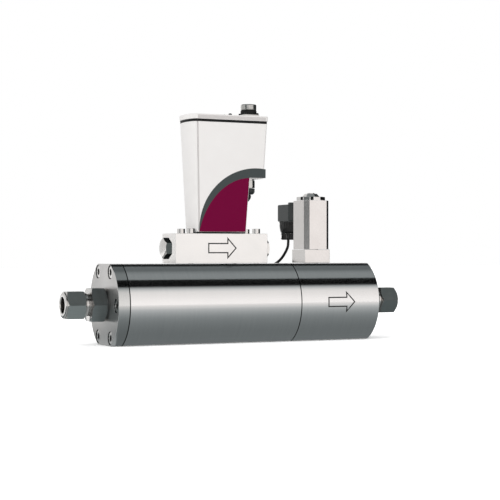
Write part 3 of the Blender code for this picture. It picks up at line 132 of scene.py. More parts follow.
def shade(tree, shader, pattern, dark, light, depth=0.0, grain=None):
    """Shades the colour between two tones by a pattern, which also lifts the skin, or a grain does."""
    tone = add(tree, "Mix", {0: pattern, 6: linear(dark), 7: linear(light)}, data_type="RGBA")
    feed(tree, shader, {"Base Color": tone.outputs[2]})
    if depth:
        relief = add(tree, "Bump", {"Height": grain or pattern, "Strength": depth, "Distance": 0.0001})
        feed(tree, shader, {"Normal": relief.outputs[0]})


def grained(name, constants, width, dark, light, depth=0.0, detail=2.0):
    """A finish with one fine grain, some millimetres wide, in its tone and its relief."""
    material, tree, shader, place = new_finish(name, constants)
    grain = add(tree, "TexNoise", {"Vector": place, "Scale": cells(width), "Detail": detail})
    shade(tree, shader, grain.outputs[0], dark, light, depth)
    return material


# Soft PVC jacket, extruded: nearly black, with a dull waxy gloss and a faint orange peel of 0.5 mm.
soft_pvc = grained(
    "soft_pvc_jacket", {"Roughness": 0.42, "Specular IOR Level": 0.3}, 0.5, "#040505", "#0C0D0D", 0.25
)


def wire_line(name, radius, kind, resolution):
    """A round wire or lead as a curve of one spline, with closed ends."""
    line = bpy.data.curves.new(name, "CURVE")
    line.dimensions = "3D"
    line.bevel_depth = radius
    line.bevel_resolution = resolution
    line.use_fill_caps = True
    return line, line.splines.new(kind)


lead_exit = (0.0808, 0.03825, 0.1169)
lead_route = [
    lead_exit, (0.0808, 0.03825, 0.1059), (0.0785, 0.0372, 0.0990), (0.0700, 0.0345, 0.0885),
    (0.0580, 0.0322, 0.0815), (0.0420, 0.0312, 0.0798), (0.0260, 0.0312, 0.0800),
    (0.0120, 0.0308, 0.0850), (0.0040, 0.0288, 0.0980), (0.0020, 0.0268, 0.1150),
    (0.0045, 0.0235, 0.1310), (0.0095, 0.0150, 0.1440), (0.0145, 0.0, 0.1540), (0.0145, 0.0, 0.1580),
]
line, run = wire_line("lead", 0.0015, "BEZIER", 5)
ends = [Vector(point) for point in lead_route]
ends = [2 * ends[0] - ends[1], *ends, 2 * ends[-1] - ends[-2]]
middles = []
for before, start, stop, after in zip(ends, ends[1:], ends[2:], ends[3:]):
    middles += [start, (9 * start + 9 * stop - before - after) / 16]
middles.append(ends[-2])
run.bezier_points.add(len(middles) - 1)
for knot, point in zip(run.bezier_points, middles):
    knot.co = point
    knot.handle_left_type = "AUTO"
    knot.handle_right_type = "AUTO"
run.resolution_u = 6
line.materials.append(soft_pvc)
lead = put_in_scene("lead", line)
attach(lead, "controller")
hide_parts("valve_lead")


# Body tube
# The long middle length of the body: a bar of stainless steel, bored, turned and polished, with a
# flat milled along its top and bottom. The screws of both ends run into blind holes in its walls.
def turned(profile, centre, along, steps=96):
    """A closed form spun about an axis. The profile holds (distance along the axis, radius) pairs."""
    centre = Vector(centre)
    along = Vector(along)
    across = Vector((0, 0, 1)) if abs(along.z) < 0.5 else Vector((1, 0, 0))
    bm = bmesh.new()
    points = [bm.verts.new(centre + along * station + across * radius) for station, radius in profile]
    rim = [bm.edges.new(pair) for pair in zip(points, points[1:])]
    if profile[0][1] > 0:
        rim.append(bm.edges.new((points[-1], points[0])))
    bmesh.ops.spin(
        bm, geom=points + rim, cent=centre, axis=along, angle=2 * math.pi, steps=steps, use_merge=True
    )
    bmesh.ops.remove_doubles(bm, verts=bm.verts, dist=1e-7)
    bmesh.ops.recalc_face_normals(bm, faces=bm.faces)
    return bm


def drill(start, stop, radius, centre, along, steps=48):
    """A plain round cutter between two stations of an axis."""
    return turned([(start, 0.0), (start, radius), (stop, radius), (stop, 0.0)], centre, along, steps)


def mill(bm, point, facing):
    """Cuts off what lies past a plane and closes the flat."""
    cut = bmesh.ops.bisect_plane(
        bm, geom=bm.verts[:] + bm.edges[:] + bm.faces[:], dist=1e-7, plane_co=point,
        plane_no=facing, clear_outer=True,
    )
    rim = [item for item in cut["geom_cut"] if isinstance(item, bmesh.types.BMEdge)]
    bmesh.ops.edgeloop_fill(bm, edges=rim)
    bmesh.ops.recalc_face_normals(bm, faces=bm.faces)


def as_object(name, bm):
    """A new object of a form, which is used up."""
    mesh = bpy.data.meshes.new(name)
    bm.to_mesh(mesh)
    bm.free()
    return put_in_scene(name, mesh)


def cut_out(bm, *cutters):
    """Cuts closed forms out of another one and gives what is left."""
    blanks = [as_object("blank", form) for form in (bm, *cutters)]
    for cutter in blanks[1:]:
        tool = blanks[0].modifiers.new("cut", "BOOLEAN")
        tool.operation = "DIFFERENCE"
        tool.solver = "EXACT"
        tool.object = cutter
    rest = bmesh.new()
    rest.from_object(blanks[0], bpy.context.evaluated_depsgraph_get())
    for blank in blanks:
        bpy.data.objects.remove(blank)
    return rest


def verts_in(geom):
    """The vertices among some geometry."""
    return [item for item in geom if isinstance(item, bmesh.types.BMVert)]


def spread(bm, places):
    """Repeats a form at several places, each given as a shift, and drops the first one."""
    first = bm.verts[:] + bm.edges[:] + bm.faces[:]
    for shift in places:
        copy = bmesh.ops.duplicate(bm, geom=first)["geom"]
        bmesh.ops.translate(bm, vec=shift, verts=verts_in(copy))
    bmesh.ops.delete(bm, geom=verts_in(first), context="VERTS")
    return bm


def set_down(name, bm, material, slot, *stands_for, body="controller", also=()):
    """Makes a finished piece of a form, shades it smooth between its edges and hands it to the frame.

    Each pair in also holds one more finish, and the test that picks the faces that get it.
    """
    made = as_object(name, bm)
    mesh = made.data
    mesh.shade_smooth()
    mesh.set_sharp_from_angle(angle=math.radians(32))
    mesh.materials.append(material)
    for index, (finish, picks) in enumerate(also, start=1):
        mesh.materials.append(finish)
        for face in mesh.polygons:
            if picks(face):
                face.material_index = index
    evened = made.modifiers.new("flat_faces", "WEIGHTED_NORMAL")
    evened.keep_sharp = True
    evened.weight = 100
    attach(made, body)
    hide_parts(*stands_for)
    return made


# Stainless steel bar, turned and polished. Fine turning rings, 0.3 mm apart, go round it, so it is a
# clear mirror round the bar and draws every reflection out along it. Faint wipe marks dull it in
# places. The rings are drawn at 0.9 mm to show. The flange gets a slightly darker copy: painted shade.
bar_finishes = []
for name, dark, light in (
    ("turned_stainless_steel", "#C6C6C6", "#D2D1D0"), ("shaded_flange_steel", "#B1B2B1", "#BDBDBC"),
):
    finish, tree, shader, place = new_finish(name, {"Metallic": 1.0, "Anisotropic": 1.0})
    along_bar = add(tree, "Mapping", {"Vector": place, "Scale": (1.0, 0.02, 0.02)})
    rings = add(tree, "TexNoise", {"Vector": along_bar.outputs[0], "Scale": cells(0.909), "Detail": 3.0})
    wipes = add(tree, "TexNoise", {"Vector": place, "Scale": cells(26.3), "Detail": 4.0, "Roughness": 0.6})
    polish = add(tree, "MapRange", {0: wipes.outputs[0], 1: 0.3, 2: 0.7, 3: 0.11, 4: 0.15})
    lengthways = add(tree, "CombineXYZ", {"X": 1.0})
    feed(tree, shader, {"Tangent": lengthways.outputs[0], "Roughness": polish.outputs[0]})
    shade(tree, shader, rings.outputs[0], dark, light, 0.05)
    bar_finishes.append(finish)
turned_steel, flange_steel = bar_finishes

low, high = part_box("body_tube")
body_radius = (high.y - low.y) / 2
axis_height = (low.z + high.z) / 2
flat_half = high.z - axis_height
axis_point = Vector((0.0, 0.0, axis_height))
along_x = Vector((1, 0, 0))
rim_chamfer = 0.0004
past = 0.001
joints = ((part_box("inlet_flange")[1].x + low.x) / 2, (high.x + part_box("valve_section")[0].x) / 2)


def bar_rim(start, stop):
    """The outside of a length of the bar, both its rims broken by a small chamfer."""
    return [(start, body_radius - rim_chamfer), (start + rim_chamfer, body_radius),
            (stop - rim_chamfer, body_radius), (stop, body_radius - rim_chamfer)]


def mill_flats(bm):
    """The two flats along the bar."""
    mill(bm, axis_point + Vector((0, 0, flat_half)), (0, 0, 1))
    mill(bm, axis_point - Vector((0, 0, flat_half)), (0, 0, -1))


bolt_circle = 0.0388
bolt_clearance = 0.0043
hole_depth = 0.0166
bolt_turns = [math.radians(60 * count) for count in range(6)]
bolt_shifts = [bolt_circle * Vector((0, math.cos(turn), math.sin(turn))) for turn in bolt_turns]
tube = turned([(low.x, 0.030), *bar_rim(low.x, high.x), (high.x, 0.030)], axis_point, along_x, 160)
mill_flats(tube)
blind_holes = [
    spread(drill(start, stop, bolt_clearance, axis_point, along_x, 32), bolt_shifts)
    for start, stop in ((low.x - past, low.x + hole_depth), (high.x - hole_depth, high.x + past))
]

# The narrow chamfers at the joints are left as turned. They, the walls of the counterbores, the screws'
# sockets and the octagon plate's cut corners get a nearly black steel: painted shade in the gaps and hollows,
# and on the plate's corners a painted dark reflection.
painted_dark_steel = grained(
    "painted_dark_steel_faces", {"Roughness": 0.5, "Metallic": 1.0}, 3.33, "#101313", "#1F2323"
)


def at_joint(face):
    """Whether a face belongs to a joint along the bar or to the wall of a screw's counterbore."""
    near = min(abs(face.center.x - joint) for joint in joints)
    across = min((face.center - axis_point - shift).yz.length for shift in bolt_shifts)
    return (near < 0.0009 and abs(face.normal.x) > 0.1) or 0.0062 < across < 0.0070


set_down(
    "turned_body_tube", cut_out(tube, *blind_holes), turned_steel, "polished_steel", "body_tube",
    also=[(painted_dark_steel, at_joint)],
)

# Inlet flange
# The bar's first 12 mm, a separate disc, faced on the lathe. Six counterbores sink its screws.
low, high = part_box("inlet_flange")
bar_end = -low.x

# Faced steel: the fine rings that facing leaves, 0.7 mm apart, spread the light in a fan.
faced_steel, tree, shader, place = new_finish(
    "faced_stainless_steel", {"Roughness": 0.30, "Metallic": 1.0, "Anisotropic": 0.75}
)
centred = add(tree, "VectorMath", {0: place, 1: (0.0, 0.0, -axis_height)}, operation="ADD")
flat_place = add(tree, "VectorMath", {0: centred.outputs[0], 1: (0.0, 1.0, 1.0)}, operation="MULTIPLY")
reach = add(tree, "VectorMath", {0: flat_place.outputs[0]}, operation="LENGTH")
by_reach = {"W": reach.outputs["Value"], "Scale": cells(0.714), "Detail": 2.0}
rings = add(tree, "TexNoise", by_reach, noise_dimensions="1D")
feed(tree, shader, {"Tangent": flat_place.outputs[0]})
shade(tree, shader, rings.outputs[0], "#AEACAB", "#BFBDBB", 0.12)

seat_depth = 0.0086
counterbore = 0.0069
port = 0.0107
groove_inner = 0.0309
groove_outer = 0.0335
groove_depth = 0.002


def counterbores(inwards, stop):
    """The cutters for the six screws of one end: a sunk seat each, and a clearance hole up to a station."""
    return spread(turned([
        (-bar_end - past, 0.0), (-bar_end - past, counterbore + 0.0002), (-bar_end, counterbore + 0.0002),
        (0.0002 - bar_end, counterbore), (seat_depth - bar_end, counterbore),
        (seat_depth - bar_end, bolt_clearance), (stop, bolt_clearance), (stop, 0.0),
    ], axis_point, inwards, 48), bolt_shifts)


def at_end(face):
    """Whether a face belongs to the faced end of the bar."""
    return abs(face.normal.x) > 0.99 and abs(face.center.x) > bar_end - 0.0001


groove_floor = high.x - groove_depth
flange = turned([
    (low.x, port), *bar_rim(low.x, high.x), (high.x, groove_outer), (groove_floor, groove_outer),
    (groove_floor, groove_inner), (high.x, groove_inner), (high.x, port),
], axis_point, along_x, 160)
mill_flats(flange)
set_down(
    "turned_inlet_flange", cut_out(flange, counterbores(along_x, high.x + past)), flange_steel,
    "polished_steel", "inlet_flange", also=[(painted_dark_steel, at_joint), (faced_steel, at_end)],
)

# Valve section
# The bar's last 95 mm. It carries the valve in a pocket in its top flat, with the outlet's screws
# through its whole length from sunk seats in the outlet face.
low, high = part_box("valve_section")
groove_floor = low.x + groove_depth
section = turned([
    (low.x, 0.0), (low.x, groove_inner), (groove_floor, groove_inner), (groove_floor, groove_outer),
    (low.x, groove_outer), *bar_rim(low.x, high.x), (high.x, 0.0),
], axis_point, along_x, 160)
mill_flats(section)
valve_x = 0.0898
valve_bore = 0.0083
pocket = drill(0.062, high.z + past, valve_bore, (valve_x, 0, 0), (0, 0, 1))
outlet_port = turned([
    (valve_x - 0.004, 0.0), (valve_x - 0.004, 0.006), (high.x - 0.0126, 0.006), (high.x - 0.0126, port),
    (high.x + past, port), (high.x + past, 0.0),
], axis_point, along_x, 48)
set_down(
    "turned_valve_section", cut_out(section, counterbores(-along_x, past - low.x), pocket, outlet_port),
    turned_steel, "polished_steel", "valve_section", also=[(painted_dark_steel, at_joint), (faced_steel, at_end)],
)


# Flange screws
# Six M8 socket screws at each end, stainless, their heads sunk just below the face. The heads are
# turned bright, and their hexagon sockets get a nearly black steel: painted shade of their depth.
def to_flats(bm, centre, sides, turn, picks):
    """Moves the rings whose radius a test picks out to a polygon round them, about an upright axis."""
    for vert in bm.verts:
        out = vert.co.xy - Vector(centre)
        if picks(out.length):
            off = (math.atan2(out.y, out.x) + turn) % (2 * math.pi / sides) - math.pi / sides
            vert.co.xy += out * (1 / math.cos(off) - 1)


def cap_screw(head_radius, head_height, radius, length, flats):
    """A socket head screw, its head's seat at the origin and its head upwards."""
    edge = head_radius * 0.07
    bm = turned([
        (head_height * 0.42, 0.0), (head_height * 0.46, flats / 2), (head_height - 0.0003, flats / 2),
        (head_height, flats / 2 + 0.0004), (head_height, head_radius - edge),
        (head_height - edge * 0.3, head_radius - edge * 0.3), (head_height - edge, head_radius),
        (0.0, head_radius), (0.0, radius), (-length, radius), (-length, 0.0),
    ], (0, 0, 0), (0, 0, 1), 48)
    to_flats(bm, (0, 0), 6, 0.0, lambda reach: abs(reach - flats / 2) < 2e-6)
    for face in bm.faces:
        middle = face.calc_center_median()
        face.material_index = int(middle.z > 0.0001 and middle.xy.length < flats / 2 + 0.0001)
    return bm


def in_socket(face):
    """Whether a face lies in a screw's socket, where it was marked."""
    return face.material_index == 1


# Stainless screw steel, cold headed: bright, with a satin skin.
screw_steel = grained(
    "cold_headed_stainless", {"Roughness": 0.27, "Metallic": 1.0}, 0.667, "#C4C2C0", "#DAD8D6", 0.1
)

head_height = 0.0077
for side, prefix in ((-1, "inlet"), (1, "outlet")):
    stand = Vector((0, 0, 1)).rotation_difference(Vector((side, 0, 0))).to_matrix().to_4x4()
    for count, shift in enumerate(bolt_shifts, start=1):
        low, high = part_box(f"{prefix}_screw_{count}")
        seat_x = (low.x if side < 0 else high.x) - side * head_height
        length = high.x - low.x - head_height
        screw = cap_screw(
            head_radius=0.0063, head_height=head_height, radius=0.004, length=length, flats=0.006,
        )
        bmesh.ops.transform(
            screw, matrix=Matrix.Translation(axis_point + shift + Vector((seat_x, 0, 0))) @ stand,
            verts=screw.verts,
        )
        set_down(
            f"{prefix}_cap_screw_{count}", screw, screw_steel, "bolt_steel", f"{prefix}_screw_{count}",
            also=[(painted_dark_steel, in_socket)],
        )

# Tube fittings
# Two-ferrule compression fittings in stainless steel: a hexagonal body screwed into each end on a
# black seal, a ringed neck, and a hexagonal nut with a bright rounded mouth for a 16 mm tube.
round_x = (Vector((0, 1, 0)), Vector((0, 0, 1)))
round_z = (Vector((1, 0, 0)), Vector((0, 1, 0)))


def mill_round(bm, centre, half, sides, turn, across, lean=0.0):
    """Mills flats round an axis, this far from it, the first one turned from the first way across."""
    for count in range(sides):
        angle = math.radians(turn + 360 * count / sides)
        facing = across[0] * math.cos(angle) + across[1] * math.sin(angle)
        mill(bm, Vector(centre) + facing * half, (facing + Vector((0, 0, lean))).normalized())


def ridges(start, pitch, number, ridge):
    """A profile's stretch of equal ridges. The pairs of a ridge count from where it starts."""
    return [(start + pitch * count + along, radius) for count in range(number) for along, radius in ridge]


def is_turned(face):
    """Whether a face of a hexagonal piece was turned, and isn't one of the flats of the bar."""
    return face.area < 0.00003 or abs(face.normal.x) > 0.1


# Fitting steel, machined from hexagon bar: silky, in a dark grey that is a painted dark reflection. Its
# fine lathe marks round the axis are drawn 0.8 mm apart to show. The bodies get a darker copy still:
# painted shade.
fitting_finishes = []
for name, dark, light in (
    ("machined_nut_steel", "#8B9191", "#9AA09F"), ("shaded_fitting_steel", "#767C7C", "#868C8C"),
):
    finish, tree, shader, place = new_finish(name, {"Metallic": 1.0})
    drawn = add(tree, "Mapping", {"Vector": place, "Scale": (0.06, 1.0, 1.0)})
    grain = add(tree, "TexNoise", {"Vector": drawn.outputs[0], "Scale": cells(0.769), "Detail": 3.0})
    stain = add(tree, "TexNoise", {"Vector": place, "Scale": cells(6.25), "Detail": 3.0})
    silk = add(tree, "MapRange", {0: stain.outputs[0], 1: 0.3, 2: 0.7, 3: 0.36, 4: 0.41})
    feed(tree, shader, {"Roughness": silk.outputs[0]})
    shade(tree, shader, grain.outputs[0], dark, light, 0.05)
    fitting_finishes.append(finish)
nut_steel, fitting_steel = fitting_finishes

# Their chamfers and turned ends are bright: a smooth cut that mirrors the lights.
bright_turned = grained(
    "bright_turned_steel", {"Roughness": 0.16, "Metallic": 1.0}, 2.5, "#B9B7B5", "#CFCDCB", 0.05, 3.0
)

# Moulded nitrile rubber: deep black and dull.
seal_rubber = grained(
    "moulded_nitrile_rubber", {"Roughness": 0.62, "Specular IOR Level": 0.25}, 3.33,
    "#080909", "#131414", 0.2, 3.0,
)

body_flats = 0.034
nut_flats = 0.028
for side, prefix in ((-1, "inlet"), (1, "outlet")):
    outwards = Vector((side, 0, 0))
    end = Vector((side * bar_end, 0, axis_height))
    corner = body_flats / math.sqrt(3)
    neck = ridges(0.0174, 0.0009, 3, [(0.0, port), (0.0002, 0.0115), (0.0005, 0.0115), (0.0007, port)])
    body = turned([
        (-0.012, 0.006), (-0.012, 0.0104), (0.00175, 0.0104), (0.00175, corner - 0.0020),
        (0.00285, corner), (0.0160, corner), (0.0171, corner - 0.0020), (0.0171, port), *neck,
        (0.0205, port), (0.0205, 0.0114), (0.0305, 0.0114), (0.0284, 0.0081), (0.005, 0.0081),
        (0.005, 0.006),
    ], end, outwards)
    mill_round(body, end, body_flats / 2, 6, 30, round_x)
    set_down(
        f"{prefix}_fitting_hexagon", body, fitting_steel, "fitting_steel", f"{prefix}_fitting_body",
        also=[(bright_turned, is_turned)],
    )

    corner = nut_flats / math.sqrt(3)
    nut = turned([
        (0.0200, 0.0117), (0.0200, 0.0123), (0.0203, 0.0126), (0.0212, 0.0126), (0.0214, 0.0122),
        (0.0218, 0.0122), (0.0220, 0.0127), (0.0241, corner), (0.0412, corner), (0.0426, corner - 0.0020),
        (0.0426, 0.0127), (0.0430, 0.0127), (0.0430, 0.0134), (0.0436, 0.0133), (0.0441, 0.0126),
        (0.0444, 0.0115), (0.0444, 0.0091), (0.0441, 0.0085), (0.0434, 0.0081), (0.0379, 0.0081),
        (0.0379, 0.0117),
    ], end, outwards)
    mill_round(nut, end, nut_flats / 2, 6, 30, round_x)
    set_down(
        f"{prefix}_gland_nut", nut, nut_steel, "fitting_steel", f"{prefix}_fitting_nut",
        also=[(bright_turned, is_turned)],
    )

    seal = turned([(0.0003, port), (0.0003, 0.0150), (0.00145, 0.0150), (0.00145, port)], end, outwards, 64)
    set_down(
        f"{prefix}_seal_ring", seal, seal_rubber, "seal_rubber", f"{prefix}_port_seal",
        also=[(fitting_steel, lambda face: abs(face.normal.x) < 0.1)],
    )

# Sensor block
# A milled stainless block on the top flat, satin and nearly white under the lights. It carries the
# housing and the sensor, and a hexagonal screw plug closes the bore at each end.
block_low, block_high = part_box("sensor_block")

# Satin steel, milled and blasted: a soft white sheen. Its grain along the block is drawn at 0.7 mm.
satin_steel, tree, shader, place = new_finish("satin_stainless_steel", {"Metallic": 1.0})
drawn = add(tree, "Mapping", {"Vector": place, "Scale": (0.04, 1.0, 1.0)})
grain = add(tree, "TexNoise", {"Vector": drawn.outputs[0], "Scale": cells(0.667), "Detail": 3.0})
haze = add(tree, "TexNoise", {"Vector": place, "Scale": cells(14.3), "Detail": 4.0})
silk = add(tree, "MapRange", {0: haze.outputs[0], 1: 0.3, 2: 0.7, 3: 0.42, 4: 0.50})
feed(tree, shader, {"Roughness": silk.outputs[0]})
shade(tree, shader, haze.outputs[0], "#E3E0DE", "#F0EEEC", 0.08, grain.outputs[0])


def block(low, high):
    """A block between two corners."""
    bm = bmesh.new()
    bmesh.ops.create_cube(bm, size=1.0)
    bmesh.ops.scale(bm, vec=Vector(high) - Vector(low), verts=bm.verts)
    bmesh.ops.translate(bm, vec=(Vector(high) + Vector(low)) / 2, verts=bm.verts)
    return bm


def bevelled(bm, edges, width, segments):
    """A form with some of its edges bevelled."""
    bmesh.ops.bevel(
        bm, geom=edges, offset=width, segments=segments, profile=0.5, affect="EDGES",
        clamp_overlap=True, material=-1,
    )
    return bm


def break_edges(bm, width, segments=2, sharper=35):
    """Rounds the edges that are sharper than an angle."""
    edges = [e for e in bm.edges if len(e.link_faces) == 2 and e.calc_face_angle() > math.radians(sharper)]
    return bevelled(bm, edges, width, segments)


bore_height = 0.100
screw_places = [Vector((x, y, block_high.z)) for x in (-0.059, 0.0167) for y in (-0.0135, 0.0135)]
milled = break_edges(block(block_low, block_high), 0.0005)
screw_holes = spread(drill(-0.04, past, 0.0028, (0, 0, 0), (0, 0, 1), 32), screw_places)
bores = [
    drill(-0.010, past, 0.0073, (x, 0, bore_height), (side, 0, 0))
    for x, side in ((block_low.x, -1), (block_high.x, 1))
]
milled = cut_out(milled, screw_holes, *bores)
set_down("milled_sensor_block", milled, satin_steel, "polished_steel", "sensor_block")

# Block plugs
# Hexagonal screw plugs in the block's two ends. The left plug's flats get a darker and greyer steel
# than its turned ends: painted shade. The right one is turned bright all over.
shaded_plug_flats = grained(
    "shaded_hexagon_steel", {"Roughness": 0.3, "Metallic": 1.0}, 2.0, "#3E4444", "#4E5454", 0.05, 3.0
)
plug_flats = 0.0195
corner = plug_flats / math.sqrt(3)
for name, x, side, flats in (
    ("left", block_low.x, -1, shaded_plug_flats), ("right", block_high.x, 1, bright_turned),
):
    plug = turned([
        (0.0080, 0.0), (0.0080, corner - 0.0036), (0.0070, corner - 0.0012), (0.0062, corner),
        (0.0003, corner), (0.0003, 0.0070), (-0.0087, 0.0070), (-0.0087, 0.0),
    ], (x, 0, bore_height), (side, 0, 0))
    mill_round(plug, (x, 0, bore_height), plug_flats / 2, 6, 0, round_x)
    set_down(
        f"{name}_hexagon_plug", plug, flats, "fitting_steel", f"{name}_block_plug",
        also=[(bright_turned, is_turned)],
    )

# Block screws
# Four M5 socket screws hold the block down. Their bright turned heads stand on its top, two beside
# the housing's nose and two at the right.
for count, spot in enumerate(screw_places, start=1):
    screw = cap_screw(head_radius=0.00425, head_height=0.005, radius=0.0025, length=0.0397, flats=0.004)
    bmesh.ops.translate(screw, vec=spot + Vector((0, 0, 0.0003)), verts=screw.verts)
    # Each socket gets the nearly black steel: painted shade of its depth.
    set_down(
        f"block_cap_screw_{count}", screw, bright_turned, "bolt_steel", f"block_screw_{count}",
        also=[(painted_dark_steel, in_socket)],
    )

# Housing
# The cast aluminium housing of the electronics, in silver-white satin lacquer. It widens upwards,
# has a half-round nose and a foot that stops short, so that its right side overhangs.
low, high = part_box("housing_shell")
foot_z = low.z
shell_rise = high.z - low.z
nose_depth = 0.0040
nose_growth = 0.0035
crease_x = -0.0507
crease_lean = 0.0035
half_foot = 0.0170
flare = 0.0041
overhang_rise = 0.0572
foot_end = 0.0032
foot_end_lean = 0.0035


def is_upright(edge):
    """Whether an edge climbs a form, and isn't part of its foot or rim."""
    return abs(edge.verts[0].co.z - edge.verts[1].co.z) > 0.001


def housing_form(bottom, top, inset, end_bottom=0.0208, end_top=0.0269, corners=0.0025):
    """A closed form with the housing's plan between two heights, moved in by an inset."""
    bm = bmesh.new()
    foot = bm.verts.new((0, 1, 0))
    head = bm.verts.new((0, 1, 1))
    bmesh.ops.spin(
        bm, geom=[foot, head, bm.edges.new((foot, head))], cent=(0, 0, 0), axis=(0, 0, 1),
        angle=math.pi, steps=48,
    )
    sides = [e for e in bm.edges if len(e.link_faces) == 1 and is_upright(e)]
    flanks = bmesh.ops.extrude_edge_only(bm, edges=sides)["geom"]
    bmesh.ops.translate(bm, vec=(1, 0, 0), verts=verts_in(flanks))
    sides = [e for e in bm.edges if is_upright(e) and all(v.co.x > 0.5 for v in e.verts)]
    bmesh.ops.contextual_create(bm, geom=sides)
    for level in (0, 1):
        open_edges = [e for e in bm.edges if len(e.link_faces) == 1]
        rim = [e for e in open_edges if all(abs(v.co.z - level) < 0.1 for v in e.verts)]
        bmesh.ops.edgeloop_fill(bm, edges=rim)
    for vert in bm.verts:
        height = bottom + vert.co.z * (top - bottom)
        share = (height - foot_z) / shell_rise
        crease = crease_x - crease_lean * share
        end = end_bottom + share * (end_top - end_bottom) - inset
        reach = nose_depth + nose_growth * share - inset if vert.co.x < 0 else end - crease
        half = half_foot + flare * share - inset
        vert.co = (crease + vert.co.x * reach, vert.co.y * half, height)
    bmesh.ops.recalc_face_normals(bm, faces=bm.faces)
    if corners - inset > 0.0002:
        posts = [e for e in bm.edges if e.calc_face_angle(0.0) > 1.2 and is_upright(e)]
        bevelled(bm, posts, corners - inset, 5)
    return bm


def thicken(bm, way):
    """Pulls a flat form out to a closed one."""
    far = bmesh.ops.extrude_face_region(bm, geom=bm.faces[:])["geom"]
    bmesh.ops.translate(bm, vec=way, verts=verts_in(far))
    bmesh.ops.recalc_face_normals(bm, faces=bm.faces)
    return bm


def under_overhang(shift_x, shift_z):
    """The space under the overhang, beside the foot."""
    bm = bmesh.new()
    slope = foot_end_lean / overhang_rise
    start = foot_z - 0.003
    stop = foot_z + overhang_rise + shift_z
    corners = [
        (foot_end - slope * 0.003 + shift_x, start), (0.2, start), (0.2, stop),
        (foot_end + foot_end_lean + slope * shift_z + shift_x, stop),
    ]
    bm.faces.new([bm.verts.new((x, -0.05, z)) for x, z in corners])
    return thicken(bm, (0, 0.1, 0))


# Satin lacquer on cast aluminium: silver-white, even, with a fine spray texture of 0.4 mm.
satin_lacquer, tree, shader, place = new_finish(
    "silver_white_satin_lacquer", {"Roughness": 0.38, "Coat Weight": 0.25, "Coat Roughness": 0.25}
)
spray = add(tree, "TexNoise", {"Vector": place, "Scale": cells(0.435), "Detail": 3.0})
cloud = add(tree, "TexNoise", {"Vector": place, "Scale": cells(22.2), "Detail": 2.0})
shade(tree, shader, cloud.outputs[0], "#EAE7E5", "#F0EEEC", 0.12, spray.outputs[0])

# The same lacquer in a darker copy, painted shade, on the lid's two long sides and in the grooves up the
# flanks.
painted_shade_lacquer = grained("shaded_silver_lacquer", {"Roughness": 0.38}, 4.17, "#C6C2C1", "#D0CCCA", 0.1, 3.0)

# A fine groove runs up each flank, where the nose begins.
groove_radius = 0.0009
creases = []
for side in (-1, 1):
    crease_foot = Vector((crease_x, side * (half_foot + 0.0001), foot_z))
    rise = Vector((-crease_lean, side * flare, shell_rise))
    creases.append(drill(-0.01, rise.length + 0.01, groove_radius, crease_foot, rise.normalized(), 16))


def in_crease(face):
    """Whether a face lies in one of the grooves up the flanks."""
    from_foot = Vector((face.center.x, abs(face.center.y), face.center.z)) - crease_foot
    across = from_foot - rise * (from_foot.dot(rise) / rise.length_squared)
    return across.length < groove_radius + 0.00005 and abs(face.normal.y) < 0.98


shell = cut_out(housing_form(low.z, high.z - 0.0003, 0.0), under_overhang(0.0, 0.0))
break_edges(shell, 0.0006, 2, 50)
hollow = cut_out(housing_form(low.z + 0.003, high.z + 0.002, 0.0025), under_overhang(-0.0025, 0.0025))
window = block((-0.0463, -0.0113, low.z - 0.0003), (-0.0017, 0.0113, low.z + 0.006))
gland_x = 0.0145
gland_hole = drill(0.165, 0.180, 0.0053, (gland_x, 0, 0), (0, 0, 1))
set_down(
    "cast_housing", cut_out(shell, hollow, window, gland_hole, *creases), satin_lacquer, "silver_paint",
    "housing_shell", also=[(painted_shade_lacquer, in_crease)],
)

# Flank print
# Two fields of printed vinyl film on the front flank: a dark grey arc band that widens to the right
# under the lacquered part, and a maroon field below it, down to the foot.
right_edge = 0.0253


def lay_film(name, centre, reach, proud, material):
    """Lays a film on the front flank, cut from an ellipse and trimmed to the housing's edges."""
    bm = bmesh.new()
    bmesh.ops.create_circle(bm, cap_ends=True, segments=192, radius=1.0)
    bmesh.ops.scale(bm, vec=(*reach, 1), verts=bm.verts)
    bmesh.ops.translate(bm, vec=(*centre, 0), verts=bm.verts)
    for point, facing in (((right_edge, 0, 0), (1, 0, 0)), ((0, foot_z + 0.0002, 0), (0, -1, 0))):
        bmesh.ops.bisect_plane(
            bm, geom=bm.verts[:] + bm.edges[:] + bm.faces[:], dist=1e-7, plane_co=point,
            plane_no=facing, clear_outer=True,
        )
    thicken(bm, (0, 0, 1))
    for vert in bm.verts:
        x, z, level = vert.co
        flank = -half_foot - flare / shell_rise * (z - foot_z)
        vert.co = (x, flank - (proud if level > 0.5 else -0.0001), z)
    set_down(name, cut_out(bm, under_overhang(-0.0006, 0.0006)), material, "silver_paint")


# Printed vinyl film: flat colour under a clear satin skin, with a very fine print grain.
print_grey = grained(
    "grey_printed_vinyl", {"Roughness": 0.34, "Specular IOR Level": 0.15}, 0.556, "#3C4343", "#444B4B", 0.06
)
print_maroon = grained(
    "maroon_printed_vinyl", {"Roughness": 0.34, "Specular IOR Level": 0.02}, 0.556, "#6E0835", "#76093B", 0.06
)
lay_film("grey_print", (0.01489, 0.12108), (0.06552, 0.06447), 0.00008, print_grey)
lay_film("maroon_print", (0.0082, 0.09745), (0.0610, 0.07762), 0.00014, print_maroon)

# Housing seals
# A thin black gasket under the foot and a thicker one under the lid, both seen as a dark line.
low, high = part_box("housing_gasket")
foot_gasket = housing_form(low.z, high.z, 0.0005, 0.0032, 0.0067, 0.0009)
opening = block((-0.046, -0.011, 0.11), (-0.002, 0.011, 0.12))
set_down("foot_gasket", cut_out(foot_gasket, opening), seal_rubber, "seal_rubber", "housing_gasket")
low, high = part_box("lid_gasket")
rim_gasket = cut_out(
    housing_form(low.z - 0.0006, high.z + 0.0006, 0.0001), housing_form(low.z - past, high.z + past, 0.0028)
)
set_down("rim_gasket", rim_gasket, seal_rubber, "seal_rubber", "lid_gasket")
